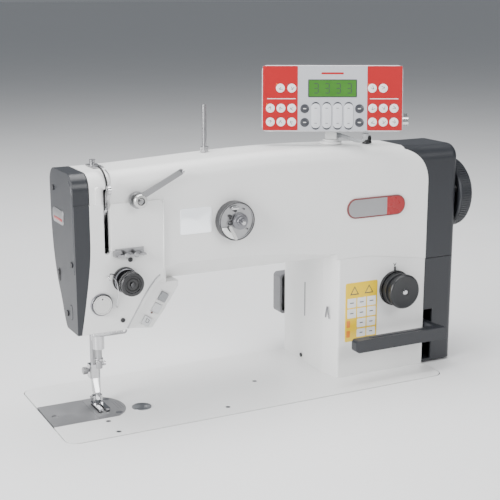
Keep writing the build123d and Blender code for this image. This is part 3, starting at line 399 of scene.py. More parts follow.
def finished(mesh, name, body, slot, *materials, replaces=(), crease=32.0):
    """Turn a mesh into a piece that rides on a body."""
    bmesh.ops.recalc_face_normals(mesh, faces=mesh.faces)
    for edge in mesh.edges:
        edge.smooth = len(edge.link_faces) == 2 and edge.calc_face_angle(0.0) < radians(crease)
    for face in mesh.faces:
        face.smooth = True
    data = bpy.data.meshes.new(name)
    mesh.to_mesh(data)
    mesh.free()
    for material in materials:
        data.materials.append(material)
    piece = own(name, data)
    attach(piece, body)
    if replaces:
        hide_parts(*replaces)
    return piece


# Lines that are milled across the needle plate beside the needle, as seam guides.
guides = bmesh.new()
bed_face = facing((0, 0, BED_TOP), (1, 0, 0), (0, 1, 0))
for distance in (17.5, 20.5, 23.5):
    slab(guides, bed_face, pill(distance, 0, 0.35, 22, 0.15, 2), -0.1, 0.03)
finished(guides, "seam_guide_lines", "frame", "plate_steel", black_steel)


# ---- arm, head and column -------------------------------------------------------------
# One hollow iron casting in structured white paint, with a plate over the window at its
# back. White strips narrow the take-up slot, and a black wire along the slit above it is painted
# shade. Flush black discs are painted shade in two oil holes; a domed black plug sits on the column.
arm_enamel = enamel("arm_enamel", (0.86, 0.86, 0.85), 1.0, 0.38)
dress(arm_enamel, "arm_casting", "rear_cover")
dress(black_steel, "cover_screws")

# White edging narrows the take-up slot, with a raised lip beside it and along the pad's edge.
edging = bmesh.new()
for x in (-3.6, 3.6):
    slab(edging, front_at(-38.6), pill(x, 316.0, 2.0, 69.0, 0.4, 2), -3.0, 0.0)
slab(edging, front_at(-39.6), pill(-8.4, 318.0, 6.5, 72.0, 3.2), -0.3, 1.3, 1.0)
wire(edging, [(63.5, -40.6, 259.0), (63.9, -40.6, 285.0), (64.3, -40.4, 318.0), (64.3, -39.9, 334.0)], 1.3)
finished(edging, "slot_edging", "frame", "white_paint", arm_enamel)
# The black wire flush along the slit above the slot is painted shade in the slit; the same black also serves
# the tension knob's ring.
slot_black = moulded("slot_black", (0.008, 0.008, 0.009), 0.6)
slit = bmesh.new()
wire(slit, smooth([(0.6, -39.4, 351.0), (1.2, -38.9, 357.0), (0.6, -36.6, 363.5), (-0.6, -31.6, 369.6),
                   (-2.0, -24.0, 372.9)]), 1.1)
finished(slit, "slot_upper_slit", "frame", "dark_cover", slot_black)

# The two flush black discs on the front are painted shade in oil holes; the domed one on the column is a
# plug.
hole_shade_and_plug = bmesh.new()
for x, z, radius in ((24.4, 273.4, 1.9), (13.6, 207.3, 1.6)):
    lathe(hole_shade_and_plug, front_at(-41.02, x, z),
          ((0, 0.02), (radius * 0.7, 0.02), (radius, 0.12), (radius, -0.6), (0, -0.6)))
lathe(hole_shade_and_plug, left_at(282.0, 41.0, 101.5), ((0, 1.0), (1.6, 1.0), (2.6, 0.6), (2.6, -0.5), (0, -0.5)))
finished(hole_shade_and_plug, "oil_hole_plugs", "frame", "dark_cover", black_steel)

# A flat grey strip on the column's left face is painted shade standing for a groove.
groove = bmesh.new()
slab(groove, left_at(282.6), pill(-33.5, 177.0, 2.2, 44.0, 1.0, 4), -0.4, 0.06)
finished(groove, "column_groove", "frame", "dark_cover", moulded("groove_grey", (0.25, 0.25, 0.26), 0.6))

bracket = bmesh.new()
for lean in (-1, 1):
    wire(bracket, [(281.9, -22.5 + 4.2 * lean, 167.5), (281.5, -22.5 + 2.6 * lean, 174.0),
                   (281.6, -22.5 + 0.7 * lean, 181.5)], 0.75)
finished(bracket, "column_thread_bracket", "frame", "chrome", turned_steel)


def grow_node(tree, kind, settings=None, **links):
    """A node of a shape tree; sockets are given as links or values, by name or number."""
    made = tree.nodes.new(kind)
    for key, value in (settings or {}).items():
        setattr(made, key, value)
    for key, value in links.items():
        key = key.replace("_", " ")
        target = made.inputs[int(key[1:])] if key[1:].isdigit() else made.inputs[key]
        if isinstance(value, bpy.types.NodeSocket):
            tree.links.new(value, target)
        else:
            target.default_value = value
    return made


def new_shape(name, *inputs):
    """An empty shape tree with named inputs and a finish, and the sockets they come from."""
    tree = bpy.data.node_groups.new(name, "GeometryNodeTree")
    socket = tree.interface.new_socket
    socket("Shape", in_out="OUTPUT", socket_type="NodeSocketGeometry")
    for title, kind, value in inputs:
        socket(title, in_out="INPUT", socket_type=f"NodeSocket{kind}").default_value = value
    socket("Finish", in_out="INPUT", socket_type="NodeSocketMaterial")
    return tree, tree.nodes.new("NodeGroupInput").outputs


def close_shape(tree, instances, finish):
    """Make the instances real, give them their finish, and put them out."""
    real = grow_node(tree, "GeometryNodeRealizeInstances", None, Geometry=instances).outputs[0]
    painted = grow_node(tree, "GeometryNodeSetMaterial", None, Geometry=real, Material=finish).outputs[0]
    grow_node(tree, "NodeGroupOutput", None, Shape=painted)
    return tree


def row_length(tree, count, pitch):
    """Length of a row: one pitch fewer than there are pieces."""
    fewer = grow_node(tree, "ShaderNodeMath", {"operation": "SUBTRACT"}, i0=count, i1=1.0).outputs[0]
    return grow_node(tree, "ShaderNodeMath", {"operation": "MULTIPLY"}, i0=fewer, i1=pitch).outputs[0]


def vent_tree():
    """Rows of slots: a block on every point of a grid."""
    tree, given = new_shape("slots_on_a_grid", ("Columns", "Int", 4), ("Rows", "Int", 4),
                            ("Pitch Across", "Float", 0.01), ("Pitch Up", "Float", 0.01),
                            ("Width", "Float", 0.004), ("Height", "Float", 0.004), ("Depth", "Float", 0.001))
    size = grow_node(tree, "ShaderNodeCombineXYZ", X=given["Width"], Y=given["Height"],
                     Z=given["Depth"]).outputs[0]
    grid = grow_node(tree, "GeometryNodeMeshGrid", None,
                     Size_X=row_length(tree, given["Columns"], given["Pitch Across"]),
                     Size_Y=row_length(tree, given["Rows"], given["Pitch Up"]),
                     Vertices_X=given["Columns"], Vertices_Y=given["Rows"]).outputs["Mesh"]
    block = grow_node(tree, "GeometryNodeMeshCube", None, Size=size).outputs["Mesh"]
    spread = grow_node(tree, "GeometryNodeInstanceOnPoints", None, Points=grid, Instance=block).outputs[0]
    return close_shape(tree, spread, given["Finish"])


slots_on_a_grid = vent_tree()


def grown(tree, name, place, body, slot, **sizes):
    """Make a plain mesh piece from a shape tree, put it in its place and let it ride."""
    holder = own(name, bpy.data.meshes.new(name))
    shaping = holder.modifiers.new("shaping", "NODES")
    shaping.node_group = tree
    for item in tree.interface.items_tree:
        if item.in_out == "INPUT":
            value = sizes[item.name.replace(" ", "_").lower()]
            shaping[item.identifier] = value
    graph = bpy.context.evaluated_depsgraph_get()
    made = bpy.data.meshes.new_from_object(holder.evaluated_get(graph))
    holder.modifiers.remove(shaping)
    holder.data = made
    made.name = name
    made.transform(place)
    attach(holder, body)
    return holder


# Flat black blocks on the rear cover stand for its open slots: painted shade in the openings.
grown(slots_on_a_grid, "rear_cover_slots", facing((125, 42.05, 312), (-1, 0, 0), (0, 0, 1)), "frame",
      "dark_cover", columns=9, rows=2, pitch_across=0.009, pitch_up=0.034, width=0.0028, height=0.024,
      depth=0.0003, finish=black_steel)


# ---- dark covers ----------------------------------------------------------------------
# Face cover, end covers and the box over the plugs are moulded in dark grey with a fine
# spark grain, and are held by slotted screws. A blank plate sits on the face cover.
cover_grey = moulded("cover_grey", (0.022, 0.024, 0.029), 0.36, 0.00003, 0.0009)
dress(cover_grey, "face_cover", "end_cover_upper", "end_cover_lower")
dress(moulded("box_grey", (0.20, 0.20, 0.21), 0.4), "rear_connector_cover")

# Near-black ovals on the face cover are painted shade in its recesses; a grey oval sits inside the second
# one.
plug_black = moulded("plug_black", (0.006, 0.006, 0.007), 0.6)
FACE = left_at(-36.0)
cover_recess_shade = bmesh.new()
slab(cover_recess_shade, FACE, pill(-15.5, 251.0, 7.5, 15.0, 3.6, 9), -0.5, 0.15, 0.1)
slab(cover_recess_shade, FACE, pill(21.0, 217.0, 9.5, 17.0, 4.6, 9), -0.5, 0.12, 0.1)
slab(cover_recess_shade, FACE, pill(21.0, 217.0, 8.1, 15.6, 3.9, 9), -0.5, 0.2, 0.1, 1)
finished(cover_recess_shade, "face_cover_plugs", "frame", "dark_cover", plug_black, cover_grey)
# A glossy wire along the cover's fold, in a lighter grey than the cover: the lighter colour is a painted
# highlight, while the gloss catches real light on the rounded edge.
fold = bmesh.new()
wire(fold, smooth([(-35.2, -27.0, 360.0), (-35.4, -33.0, 354.0), (-35.4, -35.8, 340.0), (-35.4, -36.4, 300.0),
                   (-35.4, -36.6, 262.0)]), 1.1)
fold_grey = moulded("fold_grey", (0.06, 0.063, 0.07), 0.18, 0.00001)
finished(fold, "face_cover_fold", "frame", "dark_cover", fold_grey)

face_badge = bmesh.new()
badge_silver = ground("badge_silver", (0.46, 0.46, 0.47), "x", 0.34, 0.0001, 0.6)
badge_red = moulded("badge_red", (0.34, 0.003, 0.006), 0.28, 0.00001, 0.0002, 0.5)
slab(face_badge, FACE, pill(-12.0, 316.5, 37.0, 15.5, 4.5), -0.3, 0.7, 0.4)
slab(face_badge, FACE, pill(-12.0, 313.5, 30.0, 3.0, 1.4), 0.6, 0.95, 0.1, 1)
finished(face_badge, "face_cover_badge", "frame", "label_film", badge_silver, badge_red)


# ---- main shaft, drive and handwheel --------------------------------------------------
# Hardened shafts run in bronze bushes; a toothed belt takes the hook shaft along. The
# servo motor sits under the right end cover, and the handwheel on the shaft's end.
dress(turned_steel, "main_shaft", "hook_shaft", "crank_counterweight", "feed_bar", "feed_dog")
dress(ground("bush_bronze", (0.60, 0.40, 0.20), "x", 0.36), "shaft_bushes")
dress(ground("magnet_plating", (0.30, 0.30, 0.32), "z", 0.3), "motor_rotor")
dress(ground("lacquered_sheets", (0.36, 0.32, 0.28), "z", 0.4, depth=4.0), "motor_stator")
dress(moulded("belt_rubber", (0.022, 0.022, 0.022), 0.75, 0.00008), "timing_belt")
dress(cover_grey, "handwheel")


def rib_ring_tree():
    """Ribs round a knob: blocks on a circle about the outward axis, turned to face outwards."""
    tree, given = new_shape("ribs_on_a_ring", ("Count", "Int", 48), ("Radius", "Float", 0.01),
                            ("Width", "Float", 0.001), ("Depth", "Float", 0.001), ("Length", "Float", 0.005))
    circle = grow_node(tree, "GeometryNodeMeshCircle", None, Vertices=given["Count"],
                       Radius=given["Radius"]).outputs["Mesh"]
    size = grow_node(tree, "ShaderNodeCombineXYZ", X=given["Depth"], Y=given["Width"],
                     Z=given["Length"]).outputs[0]
    rib = grow_node(tree, "GeometryNodeMeshCube", None, Size=size).outputs["Mesh"]
    where = grow_node(tree, "GeometryNodeInputPosition").outputs[0]
    turn = grow_node(tree, "FunctionNodeAlignRotationToVector", {"axis": "X"}, Vector=where).outputs[0]
    ribs = grow_node(tree, "GeometryNodeInstanceOnPoints", None, Points=circle, Instance=rib,
                     Rotation=turn).outputs[0]
    return close_shape(tree, ribs, given["Finish"])


ribs_on_a_ring = rib_ring_tree()
grown(ribs_on_a_ring, "handwheel_ribs", facing((467, 0, 304), (0, 1, 0), (0, 0, 1)), "main_drive",
      "dark_cover", count=90, radius=0.043, width=0.0014, depth=0.0012, length=0.012, finish=cover_grey)


# ---- hook, needle bar and presser foot -------------------------------------------------
# Ground and polished steel: the needle bar and presser bar in bushes, the clamp with its
# thread eye, a hinged foot, and below the plate the rotary hook with its bobbin.
def polished(name, colour, rough=0.08, soft=0.0002):
    """Chrome plate: nearly a mirror, with faint wipe marks."""
    look = Finish(name)
    wipe = look.noise(60.0, 5.0, 0.7)
    return look.close(Base_Color=look.blend(wipe, tuple(0.9 * part for part in colour), colour), Metallic=1.0,
                      Roughness=rough + 0.10 * wipe,
                      Normal=look.bump(look.noise(700.0, 2.0), 0.000004, 0.6, look.soft_edge(soft)))


chrome = polished("chrome_plate", (0.60, 0.60, 0.61))
bar_steel = ground("bar_steel", (0.42, 0.42, 0.43), "z", 0.22)
dress(bar_steel, "needle_bar", "presser_bar", "needle", "rotary_hook", "bobbin_case", "bobbin")
dress(chrome, "needle_clamp", "presser_sole", "presser_lift_lever", "take_up_lever", "bar_bushes",
      "presser_shank")
dress(bar_steel, "presser_thumb_screw")
grown(ribs_on_a_ring, "thumb_screw_knurl", facing((-10, 20.5, 134), (0, -1, 0), (0, 0, 1)), "presser_bar",
      "ground_steel", count=26, radius=0.004, width=0.0006, depth=0.0005, length=0.0046, finish=bar_steel)

foot_parts = bmesh.new()
wire(foot_parts, coil(facing((0, 11, 104.5), (0, 1, 0), (0, 0, 1)), 1.9, -7.6, -5.9, 2.5), 0.35)
finished(foot_parts, "sole_spring", "presser_sole", "chrome", bar_steel)
bar_guide = bmesh.new()
wire(bar_guide, smooth([(-3.8, -1.0, 152.5), (-5.6, -3.5, 152.0), (-4.6, -6.6, 151.4), (-1.2, -6.9, 151.0),
                        (-0.6, -4.2, 151.2)]), 0.5)
finished(bar_guide, "needle_bar_thread_eye", "needle_bar", "chrome", chrome)
rod = bmesh.new()
wire(rod, [(-17.5, -30.0, 196.0), (-17.5, -30.0, 186.0)], 0.9)
finished(rod, "drip_wire", "frame", "chrome", chrome)


# ---- thread path ------------------------------------------------------------------------
# From the top: a two-hole bracket, pretension discs with a long guide strip, a comb with
# three eyes and small springs, the main tension with its check spring, and a wire below.
satin_nickel = polished("satin_nickel", (0.66, 0.66, 0.65), 0.20)
dress(bar_steel, "thread_guides", "thread_post")
dress(satin_nickel, "quick_button", "winder_lever", "pretension_knob")
knob_black = moulded("knob_black", (0.010, 0.010, 0.012), 0.24, 0.00001, 0.0004, 0.3)
dress(knob_black, "tension_unit", "tension_knob")
TENSION = front_at(-41.0, 17.5, 252.0)

tension_nut = bmesh.new()
lathe(tension_nut, TENSION, ((3.1, 17.2), (11.5, 17.2), (12.6, 17.8), (12.6, 21.4), (11.6, 21.8),
                             (11.6, 22.6), (12.7, 23.1), (12.7, 25.2), (12.0, 25.9), (9.4, 26.0),
                             (8.8, 25.2), (3.1, 25.2), (3.1, 17.2)))
lathe(tension_nut, TENSION,
      ((6.0, 25.1), (7.3, 25.1), (7.3, 25.8), (6.7, 26.1), (6.1, 25.8), (6.0, 25.1)), 1)
finished(tension_nut, "tension_knob_turned", "tension_knob", "dark_gloss", knob_black, slot_black,
         replaces=("tension_knob",))
discs = bmesh.new()
for height in (4.6, 5.9, 7.2):
    lathe(discs, TENSION, ((12.5, height), (12.9, height + 0.2), (12.9, height + 0.5), (12.5, height + 0.7),
                           (12.5, height)))
finished(discs, "tension_disc_rims", "frame", "dark_gloss", turned_steel)
grown(ribs_on_a_ring, "tension_knob_knurl", facing((17.5, -60.4, 252), (1, 0, 0), (0, 0, 1)), "tension_knob",
      "dark_gloss", count=46, radius=0.0127, width=0.0009, depth=0.0008, length=0.0036, finish=knob_black)
grown(ribs_on_a_ring, "tension_base_knurl", facing((17.5, -43.0, 252), (1, 0, 0), (0, 0, 1)), "frame",
      "dark_gloss", count=56, radius=0.0134, width=0.0008, depth=0.0008, length=0.0036, finish=knob_black)

stem = bmesh.new()
lathe(stem, TENSION, ((0, 28.2), (1.6, 28.2), (2.4, 27.6), (2.8, 26.9), (2.8, 27.0), (0, 26.9)))
finished(stem, "tension_stem_end", "frame", "dark_gloss", black_steel)

spring_wires = bmesh.new()
wire(spring_wires, smooth([(6.0, -43.0, 259.0), (0.5, -44.5, 260.6), (-2.2, -47.0, 258.2),
                           (-1.0, -48.6, 254.2)]), 0.75)
wire(spring_wires, smooth([(3.0, -46.5, 257.5), (5.8, -49.4, 252.5), (7.0, -50.0, 243.0), (6.8, -49.4, 233.0),
                           (5.2, -47.5, 226.0), (7.2, -43.5, 223.0), (9.0, -41.0, 222.5)]), 0.6)
for x in (18.5, 29.0):
    wire(spring_wires, coil(front_at(-41.0, x, 280.0), 2.1, 2.0, 8.0, 5), 0.45, 1)
finished(spring_wires, "thread_springs", "frame", "chrome", chrome, black_steel)

lugs = bmesh.new()
for x in (18.5, 29.0):
    lathe(lugs, front_at(-41.0, x, 280.0),
          ((0, 10.2), (2.2, 10.0), (3.0, 9.3), (3.0, 8.3), (1.2, 8.2), (1.2, 0), (0, 0)))
slab(lugs, front_at(-41.0), pill(9.5, 281.2, 8.5, 6.5, 0.8), 0.0, 5.0, 0.5)
lathe(lugs, front_at(-41.0, 37.5, 279.5), ((0, 7.0), (1.6, 7.0), (2.2, 6.4), (2.2, 0), (0, 0)))
finished(lugs, "comb_lugs", "frame", "chrome", bar_steel)

strip_end = bmesh.new()
lathe(strip_end, front_at(-42.6, 84.8, 363.9), ((0, 6.0), (1.3, 5.9), (1.7, 5.2), (1.7, 0), (0, 0)))
finished(strip_end, "guide_strip_stud", "frame", "chrome", chrome)

low_tube = bmesh.new()
lathe(low_tube, facing((-18, -35.4, 193.2), (0, 1, 0), (0, 0, 1)),
      ((0, 0), (1.6, 0), (2.4, 0.7), (2.4, 19.5), (1.7, 20.3), (0, 20.3)))
wire(low_tube, coil(facing((3.0, -35.4, 193.2), (0, 1, 0), (0, 0, 1)), 2.0, 0, 13.0, 7), 0.5)
finished(low_tube, "lower_thread_tube", "frame", "chrome", chrome)

guard = bmesh.new()
wire(guard, smooth([(-1.5, -43.3, 372.0), (2.0, -43.6, 367.0), (3.6, -43.2, 361.0),
                    (3.4, -42.2, 355.5)]), 0.8)
finished(guard, "take_up_guard", "frame", "chrome", chrome)

pre_face = front_at(-41.0, 33.0, 337.5)
pre = bmesh.new()
lathe(pre, pre_face, ((2.1, 10.1), (6.6, 10.1), (7.4, 10.8), (7.4, 14.0), (6.8, 14.9), (4.3, 15.0),
                      (3.9, 14.4), (2.1, 14.4), (2.1, 10.1)))
lathe(pre, pre_face, ((2.9, 14.3), (3.6, 14.3), (3.6, 15.0), (3.2, 15.2), (2.9, 14.3)), 1)
finished(pre, "pretension_knob_turned", "pretension_knob", "chrome",
         satin_nickel, black_steel, replaces=("pretension_knob",))

button_mark = bmesh.new()
lathe(button_mark, front_at(-45.0, -9.0, 227.5), ((8.6, -0.3), (9.0, 0.08), (9.4, -0.3), (8.6, -0.3)))
lathe(button_mark, front_at(-45.0, -9.0, 234.0), ((0, 0.05), (0.9, 0.05), (1.0, -0.2), (0, -0.2)), turns=20)
finished(button_mark, "button_ring_and_dot", "quick_button", "chrome", black_steel)
button_seat = bmesh.new()
lathe(button_seat, front_at(-41.0, -9.0, 227.5),
      ((10.9, 0.0), (10.9, 1.8), (11.5, 2.1), (12.1, 1.6), (12.1, 0.0), (10.9, 0.0)))
finished(button_seat, "button_seat", "frame", "chrome", turned_steel)


# ---- bobbin winder ----------------------------------------------------------------------
# A round chromed housing let into the arm's front, with a stepped spindle, a stop finger
# and a trip lever. Its skirt is black as painted shade on the recess wall, and a black disc
# on its face is painted shade in a hole.
dress(ground("winder_metal", (0.50, 0.50, 0.51), "z", 0.25), "winder_housing")
dress(turned_steel, "winder_spindle")
WINDER = front_at(-50.5, 147.5, 304.5)
face = bmesh.new()
lathe(face, WINDER, ((20.2, 0.1), (20.6, 0.5), (21.2, 0.5), (21.5, 0.1), (21.5, -0.4), (20.2, 0.1)), 1)
# The black disc at the upper left stands for a hole in the face: its black is painted shade.
for u, v, radius in ((-8.6, 6.2, 2.1), (8.5, 13.2, 0.9), (12.5, -9.5, 0.9)):
    lathe(face, WINDER @ Matrix.Translation((u * MM, v * MM, 0)),
          ((0, 0.35), (radius - 0.3, 0.35), (radius, 0.2), (radius, -0.2), (0, -0.2)), 1, 28)
lathe(face, WINDER @ Matrix.Translation((-8.7 * MM, -1.0 * MM, 0)),
      ((1.5, 0.2), (1.6, 0.8), (2.5, 0.8), (2.7, 0.2), (1.5, 0.2)), 1, 28)
rim = [(20.0 * cos(radians(a)), 20.0 * sin(radians(a))) for a in range(196, 267, 7)]
inner = [(14.6 * cos(radians(a)), 14.6 * sin(radians(a))) for a in range(252, 203, -8)]
slab(face, WINDER, [*rim, *inner], 0.0, 2.2, 0.8, 2)
slab(face, WINDER, pill(-3.2, 15.6, 9.5, 3.4, 1.4), 0.0, 2.6, 0.6)
slab(face, WINDER, pill(-2.6, 12.4, 3.2, 3.0, 0.8), 0.0, 1.0, 0.3, 1)
finished(face, "winder_face", "frame", "chrome", chrome, black_steel, arm_enamel)
spindle = bmesh.new()
lathe(spindle, front_at(-50.5, 150.5, 304.5), ((0, 11.6), (1.9, 11.6), (2.6, 10.9), (2.6, 10.0), (0, 10.0)))
lathe(spindle, front_at(-50.5, 150.5, 304.5), ((3.05, 9.9), (3.3, 9.6), (3.3, 5.2), (4.6, 5.0), (5.0, 4.4),
                                                (5.0, 3.3), (7.4, 3.1), (7.8, 2.7), (7.8, 2.2), (9.15, 2.0),
                                                (9.15, 1.2), (3.05, 1.2), (3.05, 9.9)), 1)
finished(spindle, "winder_spindle_steps", "winder_spindle", "chrome", chrome, turned_steel)
# The recess wall is black: painted shade inside the recess.
side_wall = bmesh.new()
lathe(side_wall, WINDER, ((21.5, -0.8), (21.8, -1.2), (21.8, -10.8), (21.5, -11.0), (21.5, -0.8)))
finished(side_wall, "winder_skirt", "frame", "chrome", black_steel)


# ---- stitch-length dial -------------------------------------------------------------------
# A black two-part knob: ridged ring on the casting, knurled waist, flat cap, and a bright
# screw in its centre. A small mark above shows the setting.
dress(knob_black, "dial_ring")
DIAL = front_at(-38.7, 366.5, 199.0)
cap_black = moulded("cap_black", (0.014, 0.015, 0.017), 0.38, 0.00003, 0.0004)
dress(cap_black, "stitch_dial")
dial = bmesh.new()
lathe(dial, DIAL, ((0, 4.5), (19.4, 4.5), (20.0, 5.0), (20.0, 8.0), (19.2, 8.6), (19.2, 9.4), (20.0, 10.0),
                   (20.0, 11.6), (17.8, 12.2), (17.8, 17.4), (20.2, 18.2), (20.8, 19.0), (20.8, 22.4),
                   (20.0, 23.6), (18.8, 24.0), (18.0, 23.7), (5.0, 23.7), (4.6, 23.2), (0, 23.2)))
lathe(dial, DIAL, ((0, 25.2), (2.4, 25.0), (3.4, 24.2), (3.6, 23.0), (0, 23.0)), 1)
finished(dial, "stitch_dial_turned", "stitch_dial", "dark_gloss", cap_black, chrome,
         replaces=("stitch_dial",))
DIAL_KNURLS = (("stitch_dial_waist", 14.8, 80, 17.9, 4.8), ("stitch_dial_skirt", 6.4, 96, 20.0, 2.6),
               ("stitch_dial_cap_edge", 20.7, 96, 20.6, 2.8))
for name, offset, count, radius, length in DIAL_KNURLS:
    grown(ribs_on_a_ring, name, DIAL @ Matrix.Translation((0, 0, offset * MM)), "stitch_dial", "dark_gloss",
          count=count, radius=radius * MM, width=0.0006, depth=0.0008, length=length * MM, finish=cap_black)
grown(ribs_on_a_ring, "dial_ring_ridges", DIAL @ Matrix.Translation((0, 0, 0.0018)), "frame", "dark_gloss",
      count=60, radius=0.0214, width=0.0010, depth=0.0008, length=0.0026, finish=knob_black)
mark = bmesh.new()
slab(mark, DIAL,
     [(-2.2, 31.0), (-1.3, 31.0), (0.0, 28.4), (1.3, 31.0), (2.2, 31.0), (0.4, 27.0), (-0.4, 27.0)],
     -0.2, 0.12)
finished(mark, "dial_index_mark", "frame", "dark_gloss", black_steel)


# ---- reverse lever ------------------------------------------------------------------------
# Dark moulded handle with a soft ridge along its top, on a steel cross shaft.
dress(cover_grey, "reverse_lever")
ridge = bmesh.new()
slab(ridge, facing((0, 0, 150.5), (1, 0, 0), (0, 1, 0)), pill(362, -66.4, 96, 4.2, 1.6), -0.2, 0.45, 0.4)
finished(ridge, "lever_grip_ridge", "reverse_lever", "dark_gloss", cover_grey)


# ---- labels -------------------------------------------------------------------------------
# Generic blanks: a glossy mirror-like label, a round-ended badge in silver and red, and a
# film with empty cells. None carries any lettering.
def film(name, colour, rough=0.3):
    """Printed film: even ink under a thin clear coat."""
    look = Finish(name)
    ink = look.noise(900.0, 2.0)
    return look.close(Base_Color=look.blend(ink, tuple(0.93 * part for part in colour), colour),
                      Roughness=rough + 0.08 * ink, Coat_Weight=0.4, Coat_Roughness=0.12,
                      Normal=look.bump(ink, 0.000006, 0.5))


ink_dark = film("ink_dark", (0.05, 0.05, 0.055))
film_white = film("film_white", (0.82, 0.82, 0.81))
film_yellow = film("film_yellow", (0.88, 0.60, 0.008))
film_orange = film("film_orange", (0.80, 0.24, 0.03))
dress(film_yellow, "label_plates")
LABELS = front_at(-38.7)
column_label = bmesh.new()
slab(column_label, LABELS, pill(319.5, 175.5, 45, 73, 2), -0.1, 0.3, 0.1)
finished(column_label, "column_label", "frame", "label_film", film_yellow, replaces=("label_plates",))
CELL_ROWS = ((187.0, 11.5), (174.0, 11.5), (161.0, 11.0), (148.6, 10.0))
CELLS = [(row, 306.0 + 13.9 * column, z, tall) for row, (z, tall) in enumerate(CELL_ROWS)
         for column in range(3) if row < 2 or column > 0]
cells = bmesh.new()
for row, x, z, tall in CELLS:
    slab(cells, LABELS, pill(x, z, 12.4, tall, 0.6, 2), 0.2, 0.36)
for z in (161.0, 148.6):
    slab(cells, LABELS, pill(301.6, z, 5.0, 8.5, 0.6, 2), 0.2, 0.36, finish=1)
for x in (309.5, 330.0):
    slab(cells, LABELS, [(x - 6.2, 197.0), (x + 6.2, 197.0), (x, 207.5)], 0.2, 0.38, finish=2)
    slab(cells, LABELS, [(x - 4.4, 198.2), (x + 4.4, 198.2), (x, 205.6)], 0.3, 0.44, finish=3)
for row, x, z, tall in CELLS:
    slab(cells, LABELS, pill(x, z, 5.6 - row * 0.4, 1.2, 0.5, 2), 0.3, 0.42, finish=2)
finished(cells, "column_label_cells", "frame", "label_film", film_white, film_orange, ink_dark, film_yellow)

badge = bmesh.new()
BADGE = front_at(-39.5)
slab(badge, BADGE, pill(336.5, 302.5, 81, 24, 11.9, 12), -0.2, 1.6, 0.5, 2)
slab(badge, BADGE, pill(336.5, 302.5, 77.6, 20.6, 10.2, 12), 1.4, 1.75, 0.2)
RED_FROM, BADGE_MIDDLE = 351.0, 302.5
bow = [(x, z) for x, z in pill(336.5, 302.5, 78.6, 21.6, 10.7, 12) if x > RED_FROM]
red_end = [(RED_FROM, 313.3), *sorted((p for p in bow if p[1] > BADGE_MIDDLE), key=lambda p: p[0]),
           *sorted((p for p in bow if p[1] <= BADGE_MIDDLE), key=lambda p: -p[0]), (RED_FROM, 291.7)]
slab(badge, BADGE, red_end[::-1], 1.5, 2.0, 0.2, 1)
finished(badge, "arm_badge", "frame", "label_film", badge_silver, badge_red,
         moulded("badge_rim", (0.20, 0.05, 0.05), 0.35))


def mirror_label():
    """Metallised film under a high gloss, with a painted glow in a soft swirl that stands in for its bright
    reflections.
    """
    look = Finish("mirror_label")
    swirl = look.noise(40.0, 3.0, 0.6)
    return look.close(Base_Color=look.blend(swirl, (0.72, 0.76, 0.80), (0.95, 0.96, 0.97)), Metallic=0.35,
                      Roughness=0.08 + 0.1 * swirl, Coat_Weight=1.0, Coat_Roughness=0.03,
                      Emission_Color=look.blend(swirl, (0.70, 0.78, 0.86), (1.0, 1.0, 1.0)),
                      Emission_Strength=0.75)


glossy = bmesh.new()
slab(glossy, front_at(-39.5), pill(102.5, 307.5, 37, 28, 2), -0.1, 0.55, 0.15)
finished(glossy, "glossy_label", "frame", "label_film", mirror_label())


# ---- key housing --------------------------------------------------------------------------
# White moulding beside the head with three push keys in sockets and a small lamp.
white_plastic = moulded("white_plastic", (0.86, 0.86, 0.85), 0.34, 0.00001, 0.0006, 0.2)
dress(white_plastic, "key_housing", "panel_yoke", "panel_post")
dress(moulded("key_grey", (0.30, 0.31, 0.32), 0.42), "thread_key")
dress(moulded("key_light", (0.62, 0.63, 0.64), 0.42), "half_stitch_key", "backtack_key")
lamp_lens = film("lamp_lens", (0.07, 0.02, 0.02), 0.15)
dress(lamp_lens, "status_led")
lens = bmesh.new()
lathe(lens, front_at(-38.2, 48.9, 210.2), ((0, 1.2), (0.8, 1.0), (1.25, 0.5), (1.3, -0.3), (0, -0.3)),
      turns=24)
finished(lens, "status_lens", "frame", "lamp", lamp_lens, replaces=("status_led",))
# A grey wire along the housing's diagonal left edge: its grey is a painted shadow line beside that edge,
# while the raised wire also casts a little real shade.
seam = bmesh.new()
wire(seam, smooth([(19.5, -40.9, 197.5), (30.0, -40.9, 214.8), (40.5, -40.9, 231.7), (52.5, -40.9, 247.4),
                   (58.5, -40.7, 252.5)]), 0.9)
seam_grey = moulded("seam_grey", (0.42, 0.42, 0.43), 0.4)
finished(seam, "key_housing_seam", "frame", "white_plastic", seam_grey)
KEY_LEAN = radians(-33.0)
backtack_sign = bmesh.new()
KEY = front_at(-40.5, 42.5, 201.5) @ Matrix.Rotation(KEY_LEAN, 4, "Z")
for u, v, wide, tall in ((-1.8, 1.6, 0.7, 3.6), (-0.4, -1.2, 3.4, 0.7), (1.7, 0.6, 0.7, 3.2),
                         (0.6, 2.4, 1.8, 0.6)):
    slab(backtack_sign, KEY, pill(u, v, wide, tall, 0.25, 2), -0.1, 0.08)
finished(backtack_sign, "backtack_key_sign", "backtack_key", "grey_key", ink_dark)
socket_rims = bmesh.new()
for x, z, wide, tall in ((62.5, 226.5, 9.0, 10.0), (54.5, 214.5, 9.0, 10.0), (42.5, 201.5, 9.5, 10.0)):
    rim = front_at(-38.0, x, z) @ Matrix.Rotation(KEY_LEAN, 4, "Z")
    for u, v, w, t in ((wide / 2 + 0.7, 0, 0.8, tall + 2.2), (-wide / 2 - 0.7, 0, 0.8, tall + 2.2),
                       (0, tall / 2 + 0.7, wide + 2.2, 0.8), (0, -tall / 2 - 0.7, wide + 2.2, 0.8)):
        slab(socket_rims, rim, pill(u, v, w, t, 0.3, 2), -0.2, 0.35, 0.15)
finished(socket_rims, "key_socket_rims", "frame", "white_plastic", white_plastic)


